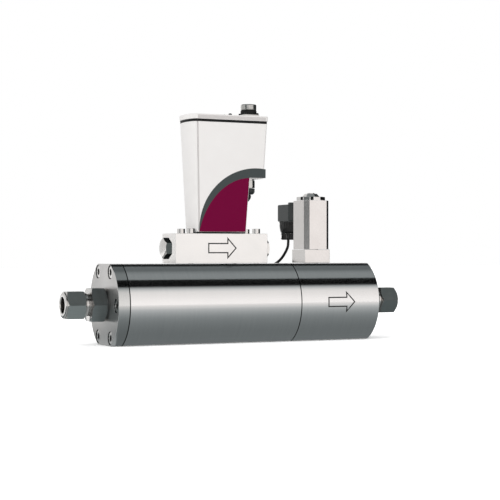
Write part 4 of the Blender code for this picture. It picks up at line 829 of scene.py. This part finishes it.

# Lid
# A cast lid, 0.6 mm larger all round, with softly rounded edges and holes for the connector, the
# button and the lamp. Its two long sides get a darker copy of the lacquer: painted shade.
low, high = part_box("housing_lid")
connector_x = 0.0140
lid = housing_form(low.z + 0.0003, high.z, -0.0006)
bevelled(lid, [e for e in lid.edges if all(v.co.z > high.z - 0.0001 for v in e.verts)], 0.0012, 3)
break_edges(lid, 0.0003, 2, 50)
lid_holes = [
    drill(low.z - past, high.z + past, radius, (x, 0, 0), (0, 0, 1), 40)
    for x, radius in ((connector_x, 0.00755), (-0.0077, 0.0023), (-0.0145, 0.0019))
]
set_down(
    "cast_lid", cut_out(lid, *lid_holes), satin_lacquer, "silver_paint", "housing_lid",
    also=[(painted_shade_lacquer, lambda face: abs(face.normal.y) > 0.99 and face.center.x > -0.05)],
)

# Round connector
# A nickel-plated M16 socket: a square flange held by four small black screws, a dark neck, and a
# bright ring with a fine flat-topped thread. Black moulded insert with eight gilt pins.
connector_seat = Vector((connector_x, 0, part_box("housing_lid")[1].z + 0.0003))

# Bright nickel plate: a warm grey mirror, slightly clouded.
nickel_plate = grained(
    "bright_nickel_plate", {"Roughness": 0.15, "Metallic": 1.0}, 2.0, "#A9A8A6", "#BCBBB8", 0.08, 3.0
)
thread = ridges(0.0085, 0.0009, 5, [(0.0, 0.0084), (0.0001, 0.0085), (0.0007, 0.0085), (0.0008, 0.0084)])
ring = turned([
    (-0.0088, 0.0053), (-0.0088, 0.00725), (0.0078, 0.00725), (0.0078, 0.0083), (0.0080, 0.0085),
    (0.0083, 0.0085), *thread, (0.0131, 0.0082), (0.0136, 0.0080), (0.0137, 0.0078), (0.0137, 0.0071),
    (0.0134, 0.0069), (-0.0028, 0.0069), (-0.0028, 0.0053),
], connector_seat, (0, 0, 1))
set_down("threaded_ring", ring, nickel_plate, "nickel_plate", "connector_shell")

plate_height = 0.0026
plate_half = Vector((0.00875, 0.00875, 0))
plate = block(connector_seat - plate_half, connector_seat + plate_half + Vector((0, 0, plate_height)))
neck_hole = drill(-0.05, 0.05, 0.0073, connector_seat, (0, 0, 1), 64)
set_down("connector_plate", cut_out(break_edges(plate, 0.0004), neck_hole), nickel_plate, "nickel_plate")

# Blackened screw steel: dark, oily and a little glossy.
black_oxide = grained(
    "blackened_screw_steel", {"Roughness": 0.35, "Metallic": 0.8}, 1.67, "#0D0F0F", "#1A1D1D"
)
corner_shifts = [(x, y) for x in (-0.0070, 0.0070) for y in (-0.0070, 0.0070)]
for count, (x, y) in enumerate(corner_shifts, start=1):
    spot = connector_seat + Vector((x, y, plate_height))
    head = turned([
        (0.0018, 0.0), (0.0018, 0.0006), (0.0017, 0.0011), (0.0014, 0.0014), (0.0009, 0.0016), (0.0, 0.0016),
        (0.0, 0.0),
    ], spot, (0, 0, 1), 24)
    slot_cut = block(spot + Vector((-0.002, -0.0002, 0.0012)), spot + Vector((0.002, 0.0002, 0.0022)))
    set_down(f"connector_plate_screw_{count}", cut_out(head, slot_cut), black_oxide, "bolt_steel")

neck = turned([
    (plate_height, 0.0073), (plate_height, 0.0090), (0.0040, 0.0090), (0.0043, 0.0087), (0.0068, 0.0087),
    (0.0071, 0.0083), (0.0078, 0.0083), (0.0078, 0.0073),
], connector_seat, (0, 0, 1), 64)
set_down("connector_neck_seal", neck, seal_rubber, "seal_rubber")

# Moulded polyamide: a charcoal black with a fine spark texture.
moulded_polyamide = grained("moulded_polyamide", {"Roughness": 0.48}, 0.625, "#1A2121", "#222A2A", 0.3, 3.0)
insert_top = 0.0040
insert = turned([
    (insert_top, 0.0), (insert_top, 0.0064), (insert_top - 0.0003, 0.0066), (-0.0025, 0.0066), (-0.0025, 0.0),
], connector_seat, (0, 0, 1), 64)
set_down("pin_insert", insert, moulded_polyamide, "black_plastic", "connector_insert")

# Gilt brass, polished: a warm yellow gloss.
gilt_brass = grained("gilt_brass", {"Roughness": 0.25, "Metallic": 1.0}, 1.11, "#C79B4B", "#E0B765")
pin = turned([
    (insert_top - 0.0010, 0.0), (insert_top - 0.0010, 0.0005), (insert_top + 0.0038, 0.0005),
    (insert_top + 0.0042, 0.0003), (insert_top + 0.0042, 0.0),
], connector_seat, (0, 0, 1), 16)
pin_circle = 0.0048
pin_turns = [2 * math.pi * (count + 0.5) / 8 for count in range(8)]
pins = spread(pin, [pin_circle * Vector((math.cos(turn), math.sin(turn), 0)) for turn in pin_turns])
set_down("connector_pins", pins, gilt_brass, "black_plastic")


# Push button and lamp
# A small domed black push button in the lid, which travels, and a clear green lamp lens beside it.
# A collar under the lid keeps each of them in.
def domed(node, dome):
    """A round piece in the lid: its dome, drawn from its node's top, then its shaft and its collar."""
    low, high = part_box(node)
    foot = low.z - high.z
    shaft = dome[-1][1]
    collar = shaft + 0.0010
    return turned([
        *dome, (foot + 0.0012, shaft), (foot + 0.0012, collar), (foot, collar), (foot, 0.0),
    ], ((low.x + high.x) / 2, 0, high.z), (0, 0, 1), 48)


button = domed(
    "mode_button", [(0.0027, 0.0), (0.0026, 0.0008), (0.0023, 0.0015), (0.0018, 0.0019), (0.0010, 0.0020)]
)
set_down("domed_button", button, moulded_polyamide, "black_plastic", "mode_button", body="button")

# Moulded acrylic lens: pale green, half clear and glossy.
lamp_lens = grained(
    "moulded_acrylic_lens", {"Roughness": 0.12, "Transmission Weight": 0.4}, 1.43, "#A9B5A6", "#C6CEC2"
)
lens = domed("status_lamp", [(0.0021, 0.0), (0.0020, 0.0007), (0.0016, 0.0013), (0.0010, 0.0016)])
set_down("lamp_lens", lens, lamp_lens, "lamp_lens", "status_lamp")

# Lead socket and its plug
# A bright turned socket hangs under the overhang, with a dark ring where it meets the housing. The
# lead's black plug, ribbed for the fingers, pushes up into it.
low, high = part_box("lead_gland")
socket_top = foot_z + overhang_rise - 0.0003
socket_form = turned([
    (high.z, 0.0035), (high.z, 0.0050), (socket_top, 0.0050), (socket_top, 0.0057),
    (socket_top - 0.0010, 0.0057), (socket_top - 0.0012, 0.0062), (low.z + 0.0004, 0.00625),
    (low.z, 0.0059), (low.z, 0.0035),
], (gland_x, 0, 0), (0, 0, 1), 64)
set_down("lead_socket", socket_form, nickel_plate, "nickel_plate", "lead_gland")
low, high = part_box("lead_plug")
pin_length = 0.005
foot = low.z - high.z + pin_length
ribs = ridges(-0.0007, -0.0011, 3, [(0.0, 0.0063), (-0.0006, 0.0063), (-0.0007, 0.0058), (-0.0010, 0.0058)])
plug = turned([
    (pin_length, 0.0), (pin_length, 0.0032), (0.0, 0.0032), (0.0, 0.0056), *ribs, (-0.0041, 0.0061),
    (-0.0054, 0.0053), (foot, 0.0041), (foot, 0.0),
], (gland_x, 0, high.z - pin_length), (0, 0, 1), 64)
plug = set_down("push_plug", plug, moulded_polyamide, "black_plastic", "lead_plug")

# Valve base and coil
# A milled base block on the body, and on it the solenoid's case: an upright block with its four
# corners cut off. Both are bright steel, brushed upright, in lines drawn 0.7 mm apart to show.
coil_steel, tree, shader, place = new_finish("brushed_coil_steel", {"Roughness": 0.22, "Metallic": 1.0})
upright = add(tree, "Mapping", {"Vector": place, "Scale": (1.0, 1.0, 0.03)})
grain = add(tree, "TexNoise", {"Vector": upright.outputs[0], "Scale": cells(0.714), "Detail": 3.0})
haze = add(tree, "TexNoise", {"Vector": place, "Scale": cells(16.7), "Detail": 3.0})
shade(tree, shader, haze.outputs[0], "#C2BEBC", "#CDCAC8", 0.05, grain.outputs[0])

base = break_edges(block(*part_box("valve_base")), 0.0005)
bore = drill(0.08, 0.12, valve_bore, (valve_x, 0, 0), (0, 0, 1))
set_down("milled_valve_base", cut_out(base, bore), coil_steel, "polished_steel", "valve_base")

low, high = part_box("coil_case")
case = block(low, high)
bevelled(case, [e for e in case.edges if is_upright(e)], 0.0048, 1)
break_edges(case, 0.00015, 2, 30)
pocket_top = high.z - 0.003
well = turned([
    (0.095, 0.0), (0.095, 0.0132), (pocket_top, 0.0132), (pocket_top, 0.0063), (0.2, 0.0063), (0.2, 0.0),
], (valve_x, 0, 0), (0, 0, 1), 64)
set_down("coil_block", cut_out(case, well), coil_steel, "bright_steel", "coil_case")

# Coil plate and nut
# An octagonal plated steel plate closes the coil, its corners cut off and given a nearly black steel,
# a painted dark reflection. A low six-sided nut with sloping sides, on the armature tube's stud,
# clamps it. Their facets flash in turn.
low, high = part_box("coil_top_plate")
stud_hole = 0.0043
plate = turned([
    (low.z, stud_hole), (low.z, 0.0150), (high.z - 0.0003, 0.0150), (high.z, 0.0147), (high.z, stud_hole),
], (valve_x, 0, 0), (0, 0, 1), 64)
to_flats(plate, (valve_x, 0), 8, math.pi / 8, lambda reach: reach > 0.014)
mill_round(plate, (valve_x, 0, 0), 0.01555, 8, 22.5, round_z)


def at_cut_corner(face):
    """Whether a face is one of the octagon's narrow cut corners."""
    return abs(face.normal.z) < 0.5 and 0.3 < min(abs(face.normal.x), abs(face.normal.y)) < 0.5


set_down(
    "octagonal_plate", plate, bright_turned, "nickel_plate", "coil_top_plate",
    also=[(painted_dark_steel, at_cut_corner)],
)

low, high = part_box("coil_nut")
nut_foot = 0.0083
nut_brow = 0.0058
nut = turned([
    (low.z, stud_hole), (low.z, 0.0100), (high.z, 0.0100), (high.z, stud_hole),
], (valve_x, 0, 0), (0, 0, 1))
mill_round(nut, (valve_x, 0, low.z), nut_foot, 6, 0, round_z, (nut_foot - nut_brow) / (high.z - low.z))
set_down("low_hexagon_nut", nut, bright_turned, "fitting_steel", "coil_nut")

# Cable plug
# A moulded charcoal plug on the back of the coil, with a raised boss over the coil's terminals and,
# under it, a ribbed neck and a hexagonal gland nut that point down.
low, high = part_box("valve_plug")
case = break_edges(block((0.0712, low.y, 0.1304), (0.0918, high.y, 0.1492)), 0.0013, 3)
set_down("plug_case", case, moulded_polyamide, "black_plastic", "valve_plug")
boss = break_edges(block((0.0731, low.y + 0.0003, 0.1470), (0.0885, low.y + 0.0060, high.z)), 0.0008)
set_down("plug_terminal_boss", boss, moulded_polyamide, "black_plastic")

# Gland plastic, harder and darker than the plug: near black, semi-gloss.
gland_plastic = grained(
    "moulded_gland_plastic", {"Roughness": 0.36, "Specular IOR Level": 0.35}, 0.667,
    "#030404", "#090B0B", 0.15,
)
neck_centre = Vector((lead_exit[0], lead_exit[1], 0.0))
neck_steps = 96
neck = turned([
    (0.1310, 0.0), (0.1310, 0.0099), (0.1285, 0.0099), (0.1282, 0.0094), (0.1276, 0.0094), (0.1273, 0.0098),
    (0.1240, 0.0096), (0.1200, 0.0089), (0.1182, 0.0083), (0.1176, 0.0076), (0.11725, 0.0074), (0.11725, 0.0),
], neck_centre, (0, 0, 1), neck_steps)
for vert in neck.verts:
    out = vert.co.xy - neck_centre.xy
    if out.length > 0.0085 and round(math.atan2(out.y, out.x) / (2 * math.pi / neck_steps)) % 4 == 0:
        vert.co.xy -= out * 0.04
set_down("plug_neck", neck, gland_plastic, "black_plastic")

low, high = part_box("cable_gland_nut")
gland_flats = 0.0158
corner = gland_flats / math.sqrt(3)
nut = turned([
    (high.z, 0.0018), (high.z, corner - 0.0009), (high.z - 0.0009, corner - 0.0009),
    (high.z - 0.0018, corner), (low.z + 0.0020, corner), (low.z, corner - 0.0020), (low.z, 0.0018),
], neck_centre, (0, 0, 1))
mill_round(nut, neck_centre, gland_flats / 2, 6, 30, round_z)
set_down("plug_gland_nut", nut, gland_plastic, "black_plastic", "cable_gland_nut")


# Flow arrows
# An arrow outline engraved in the block's front and in the body's, its lines filled with black.
# The word that the real arrow holds is left off.
def engrave(name, start, stop, middle, cuts, surface):
    """An arrow outline, its lines 1.3 mm wide. The surface tells how far out its front and back lie."""
    bm = bmesh.new()
    neck_x = stop - 0.011
    corners = [
        (start, -0.0055), (neck_x, -0.0055), (neck_x, -0.0118), (stop, 0.0), (neck_x, 0.0118),
        (neck_x, 0.0055), (start, 0.0055),
    ]
    shape = bm.faces.new([bm.verts.new((x, 0, middle + z)) for x, z in corners])
    bm.normal_update()
    bmesh.ops.inset_region(bm, faces=[shape], thickness=0.0013, use_boundary=True, use_even_offset=True)
    bmesh.ops.delete(bm, geom=[shape], context="FACES_ONLY")
    if cuts:
        long_edges = [e for e in bm.edges if e.calc_length() > 0.002]
        bmesh.ops.subdivide_edges(bm, edges=long_edges, cuts=cuts, use_grid_fill=True)
    thicken(bm, (0, 1, 0))
    for vert in bm.verts:
        vert.co.y = surface(vert.co.y < 0.5, vert.co.z)
    set_down(name, bm, engraved_black, "black_plastic")


def block_front(in_front, height):
    """The block's front, or a little behind it."""
    return block_low.y + (-0.00006 if in_front else 0.00014)


def body_front(in_front, height):
    """The body's round front at a height, or a little behind it."""
    reach = body_radius + (0.00006 if in_front else -0.0001)
    return -math.sqrt(reach ** 2 - (height - axis_height) ** 2)


# Engraver's black filler: dull and fine.
engraved_black = grained("black_filled_engraving", {"Roughness": 0.55}, 0.4, "#060808", "#101313")
engrave("block_arrow", -0.0416, -0.0087, 0.1003, 0, block_front)
engrave("body_arrow", 0.0870, 0.1200, 0.0425, 12, body_front)

# Inner pieces
# What the closed body, housing and coil hold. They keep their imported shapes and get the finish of
# the real ones: turned steel discs and seat, copper winding, glass-fibre board, rubber cords.
inner_steel = grained(
    "turned_inner_steel", {"Roughness": 0.30, "Metallic": 1.0}, 1.11, "#B4B3B1", "#C8C6C4", 0.1
)
# Solder mask on glass fibre: an even, half glossy green.
solder_mask = grained("green_solder_mask", {"Roughness": 0.35}, 0.833, "#0F4A2C", "#1B6B41")

# Enamelled copper wire, wound in turns 0.785 mm apart: its colour is darker between the turns, painted shade,
# and brighter on them, a painted highlight.
enamelled_copper, tree, shader, place = new_finish(
    "enamelled_copper_wire", {"Roughness": 0.32, "Metallic": 0.9}
)
turns = add(tree, "TexWave", {"Vector": place, "Scale": 0.1 * math.pi * cells(0.785)}, bands_direction="Z")
relief = add(tree, "Bump", {"Height": turns.outputs[1], "Strength": 0.6, "Distance": 0.0003})
feed(tree, shader, {"Normal": relief.outputs[0]})
shade(tree, shader, turns.outputs[1], "#7A3A1B", "#C27B45")

steel_nodes = ["laminar_element", "flow_sieve", "sensor_tube", "armature_tube", "valve_plunger", "valve_seat"]
steel_nodes += [f"{end}_{place}_ferrule" for end in ("inlet", "outlet") for place in ("front", "back")]
for material, names in (
    (inner_steel, steel_nodes), (seal_rubber, ["flange_seal", "valve_section_seal"]),
    (solder_mask, ["circuit_board"]), (enamelled_copper, ["coil_winding"]),
):
    for name in names:
        nodes[name].data.materials.clear()
        nodes[name].data.materials.append(material)

# The plunger's return spring is wound wire, between the plunger and the pocket's roof.
low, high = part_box("plunger_spring")
wire = 0.0003
winding_radius = 0.0024
turns_of_wire = 3
steps_a_turn = 24
coil_line, winding = wire_line("spring", wire, "POLY", 2)
winding.points.add(turns_of_wire * steps_a_turn)
for count, point in enumerate(winding.points):
    turn = 2 * math.pi * count / steps_a_turn
    height = low.z + wire + count / (turns_of_wire * steps_a_turn) * (high.z - low.z - 2 * wire)
    point.co = (valve_x + winding_radius * math.cos(turn), winding_radius * math.sin(turn), height, 1.0)
wound = put_in_scene("spring", coil_line)
finished = wound.evaluated_get(bpy.context.evaluated_depsgraph_get())
coiled = bmesh.new()
coiled.from_mesh(bpy.data.meshes.new_from_object(finished))
bpy.data.objects.remove(wound)
bmesh.ops.remove_doubles(coiled, verts=coiled.verts, dist=1e-7)
bmesh.ops.recalc_face_normals(coiled, faces=coiled.faces)
spring = set_down("plunger_coil_spring", coiled, inner_steel, "inner_steel", "plunger_spring")
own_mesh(spring)

# Reflections
# The body's shoulders blur what stands on them to a grey smear, so no mirror image is drawn of the
# pieces above the body. Only the lead, which lies against it, is mirrored.
bpy.context.view_layer.update()
for piece in bpy.context.scene.objects:
    heights = [(piece.matrix_world @ Vector(corner)).z for corner in piece.bound_box]
    if piece.type == "MESH" and max(heights) > block_low.z + 0.005:
        piece.visible_glossy = False


# Studio
# A plain pale floor under an even white surround, one large soft light at the front left, and cards
# outside the view that only the polished metal mirrors.
def seen_plainly(tree):
    """Whether the floor or the surround is seen by the camera, in a mirror or through glass."""
    sight = add(tree, "LightPath", {}).outputs
    direct = add(tree, "Math", {0: sight["Is Camera Ray"], 1: sight["Is Glossy Ray"]}, operation="MAXIMUM")
    seen = add(tree, "Math", {0: direct.outputs[0], 1: sight["Is Transmission Ray"]}, operation="MAXIMUM")
    return seen.outputs[0]


def stand_up(name, bm, material):
    """Makes a piece of the studio of a form."""
    made = as_object(name, bm)
    made.data.materials.append(material)
    return made


# Matt floor paper, pale grey in its own light and white where it is seen.
floor_paper, tree, shader, place = new_finish("pale_floor_paper", {})
pulp = add(tree, "TexNoise", {"Vector": place, "Scale": cells(16.7), "Detail": 2.0})
greys = {0: pulp.outputs[0], 6: (0.80, 0.80, 0.80, 1.0), 7: (0.82, 0.82, 0.82, 1.0)}
paper = add(tree, "Mix", greys, data_type="RGBA")
tones = {0: seen_plainly(tree), 6: paper.outputs[2], 7: (1.7, 1.7, 1.7, 1.0)}
shown = add(tree, "Mix", tones, data_type="RGBA")
paint = add(tree, "BsdfDiffuse", {"Color": shown.outputs[2]})
feed(tree, tree.nodes["Material Output"], {"Surface": paint.outputs[0]})
ground = bmesh.new()
bmesh.ops.create_grid(ground, x_segments=4, y_segments=4, size=6.0)
stand_up("floor", ground, floor_paper)

world = bpy.data.worlds.new("surround")
world.use_nodes = True
bpy.context.scene.world = world
tree = world.node_tree
way = add(tree, "TexCoord", {})
lean = add(tree, "VectorMath", {0: way.outputs["Generated"], 1: (-0.15, -0.8, 0.3)}, operation="DOT_PRODUCT")
glow = add(tree, "MapRange", {0: lean.outputs["Value"], 1: -0.7, 2: 0.7, 3: 0.42, 4: 1.02})
level = add(tree, "Mix", {0: seen_plainly(tree), 2: glow.outputs[0], 3: 1.0}, data_type="FLOAT")
feed(tree, tree.nodes["Background"], {"Color": (1.0, 1.0, 1.0, 1.0), "Strength": level.outputs[0]})

softbox = bpy.data.lights.new("softbox", "AREA")
softbox.shape = "RECTANGLE"
softbox.size = 1.6
softbox.size_y = 1.4
softbox.energy = 11.5
lamp = put_in_scene("softbox", softbox)
lamp.location = (-1.75, -1.05, 1.0)
lamp.rotation_euler = Vector((-1.75, -1.05, 0.9)).to_track_quat("Z", "Y").to_euler()
lamp.visible_glossy = False


def flag(name, centre, across, upwards, shades):
    """A card outside the view that only shows in glossy surfaces, graded along its upward side."""
    material = bpy.data.materials.new(name)
    material.use_nodes = True
    tree = material.node_tree
    along = add(tree, "UVMap", {}, uv_map="grade")
    height = add(tree, "SeparateXYZ", {0: along.outputs[0]})
    grade = add(tree, "ValToRGB", {0: height.outputs["Y"]})
    stops = grade.color_ramp.elements
    while len(stops) < len(shades):
        stops.new(1.0)
    for stop, (share, level) in zip(stops, shades):
        stop.position = share
        warmth = min(level / 1.2, 1.0)
        stop.color = (level * (0.87 + 0.16 * warmth), level, level * (1.035 - 0.05 * warmth), 1.0)
    light = add(tree, "Emission", {"Color": grade.outputs[0], "Strength": 1.0})
    feed(tree, tree.nodes["Material Output"], {"Surface": light.outputs[0]})
    bm = bmesh.new()
    bmesh.ops.create_grid(bm, x_segments=1, y_segments=1, size=0.5)
    layer = bm.loops.layers.uv.new("grade")
    for face in bm.faces:
        for loop in face.loops:
            loop[layer].uv = loop.vert.co.xy + Vector((0.5, 0.5))
    for vert in bm.verts:
        vert.co = Vector(centre) + Vector(across) * vert.co.x + Vector(upwards) * vert.co.y
    card = stand_up(name, bm, material)
    card.visible_camera = False
    card.visible_diffuse = False
    card.visible_shadow = False
    card.visible_transmission = False


flag("soft_front_flag", (0.475, -1.3425, 0.4328), (2.05, 0, 0), (0, 1.115, 0.8645),
     ((0.0, 1.46), (0.10, 1.46), (0.37, 1.39), (0.60, 1.26), (0.77, 1.15), (0.85, 0.94), (0.93, 0.6),
      (1.0, 0.02)))
flag("front_top_flag", (0.45, -0.605, 0.91), (2.8, 0, 0), (0, 0.36, 0.09), ((0.0, 0.004), (1.0, 0.004)))
flag("top_flag", (0.45, -0.03, 0.955), (2.8, 0, 0), (0, 0.79, 0),
     ((0.0, 0.37), (0.35, 0.37), (0.50, 0.31), (0.63, 0.20), (0.80, 0.20), (1.0, 0.24)))
flag("back_top_flag", (0.45, 0.60, 0.83), (2.8, 0, 0), (0, 0.48, -0.24), ((0.0, 0.02), (1.0, 0.02)))
# Seen only in the metal, this floor card darkens towards and under the body: a painted shadow of the body on
# the floor.
flag("floor_flag", (0.5, -0.55, 0.0006), (3.4, 0, 0), (0, 1.9, 0),
     ((0.0, 1.25), (0.484, 1.15), (0.642, 0.94), (0.6905, 0.72), (0.7137, 0.60), (0.728, 0.51), (0.737, 0.44),
      (0.744, 0.38), (0.754, 0.31), (0.761, 0.27), (0.768, 0.235), (1.0, 0.22)))
flag("left_flag", (-1.1, -0.57, 0.35), (0.12, -0.46, 0), (0, 0, 0.9), ((0.0, 0.2), (1.0, 0.2)))
flag("back_left_flag", (-0.75, 1.25, 0.4), (1.3, 0.35, 0), (0, 0, 1.1), ((0.0, 1.0), (1.0, 0.95)))
flag("coil_side_flag", (-0.44, 1.12, 0.4), (0.36, 0.10, 0), (0, 0, 1.1), ((0.0, 0.93), (1.0, 0.93)))
flag("right_floor_flag", (1.0, 0.78, 0.0006), (1.5, 0, 0), (0, 0.7, 0), ((0.0, 0.012), (1.0, 0.012)))
flag("right_front_flag", (1.46, -0.63, 0.5), (-0.08, 1.41, 0), (0, 0, 1.0), ((0.0, 0.02), (1.0, 0.02)))
flag("right_flag", (1.2, 0.62, 0.4), (0.45, -1.1, 0), (0, 0, 1.0), ((0.0, 0.012), (1.0, 0.012)))
# Seen only in the metal, a mid grey card on the floor under the inlet fitting: part of the painted shadow,
# lighter there than round it.
flag("fitting_flag", (-0.195, -0.03, 0.0009), (0.10, 0, 0), (0, 0.18, 0), ((0.0, 0.62), (1.0, 0.5)))

bpy.context.scene.view_settings.view_transform = "Standard"
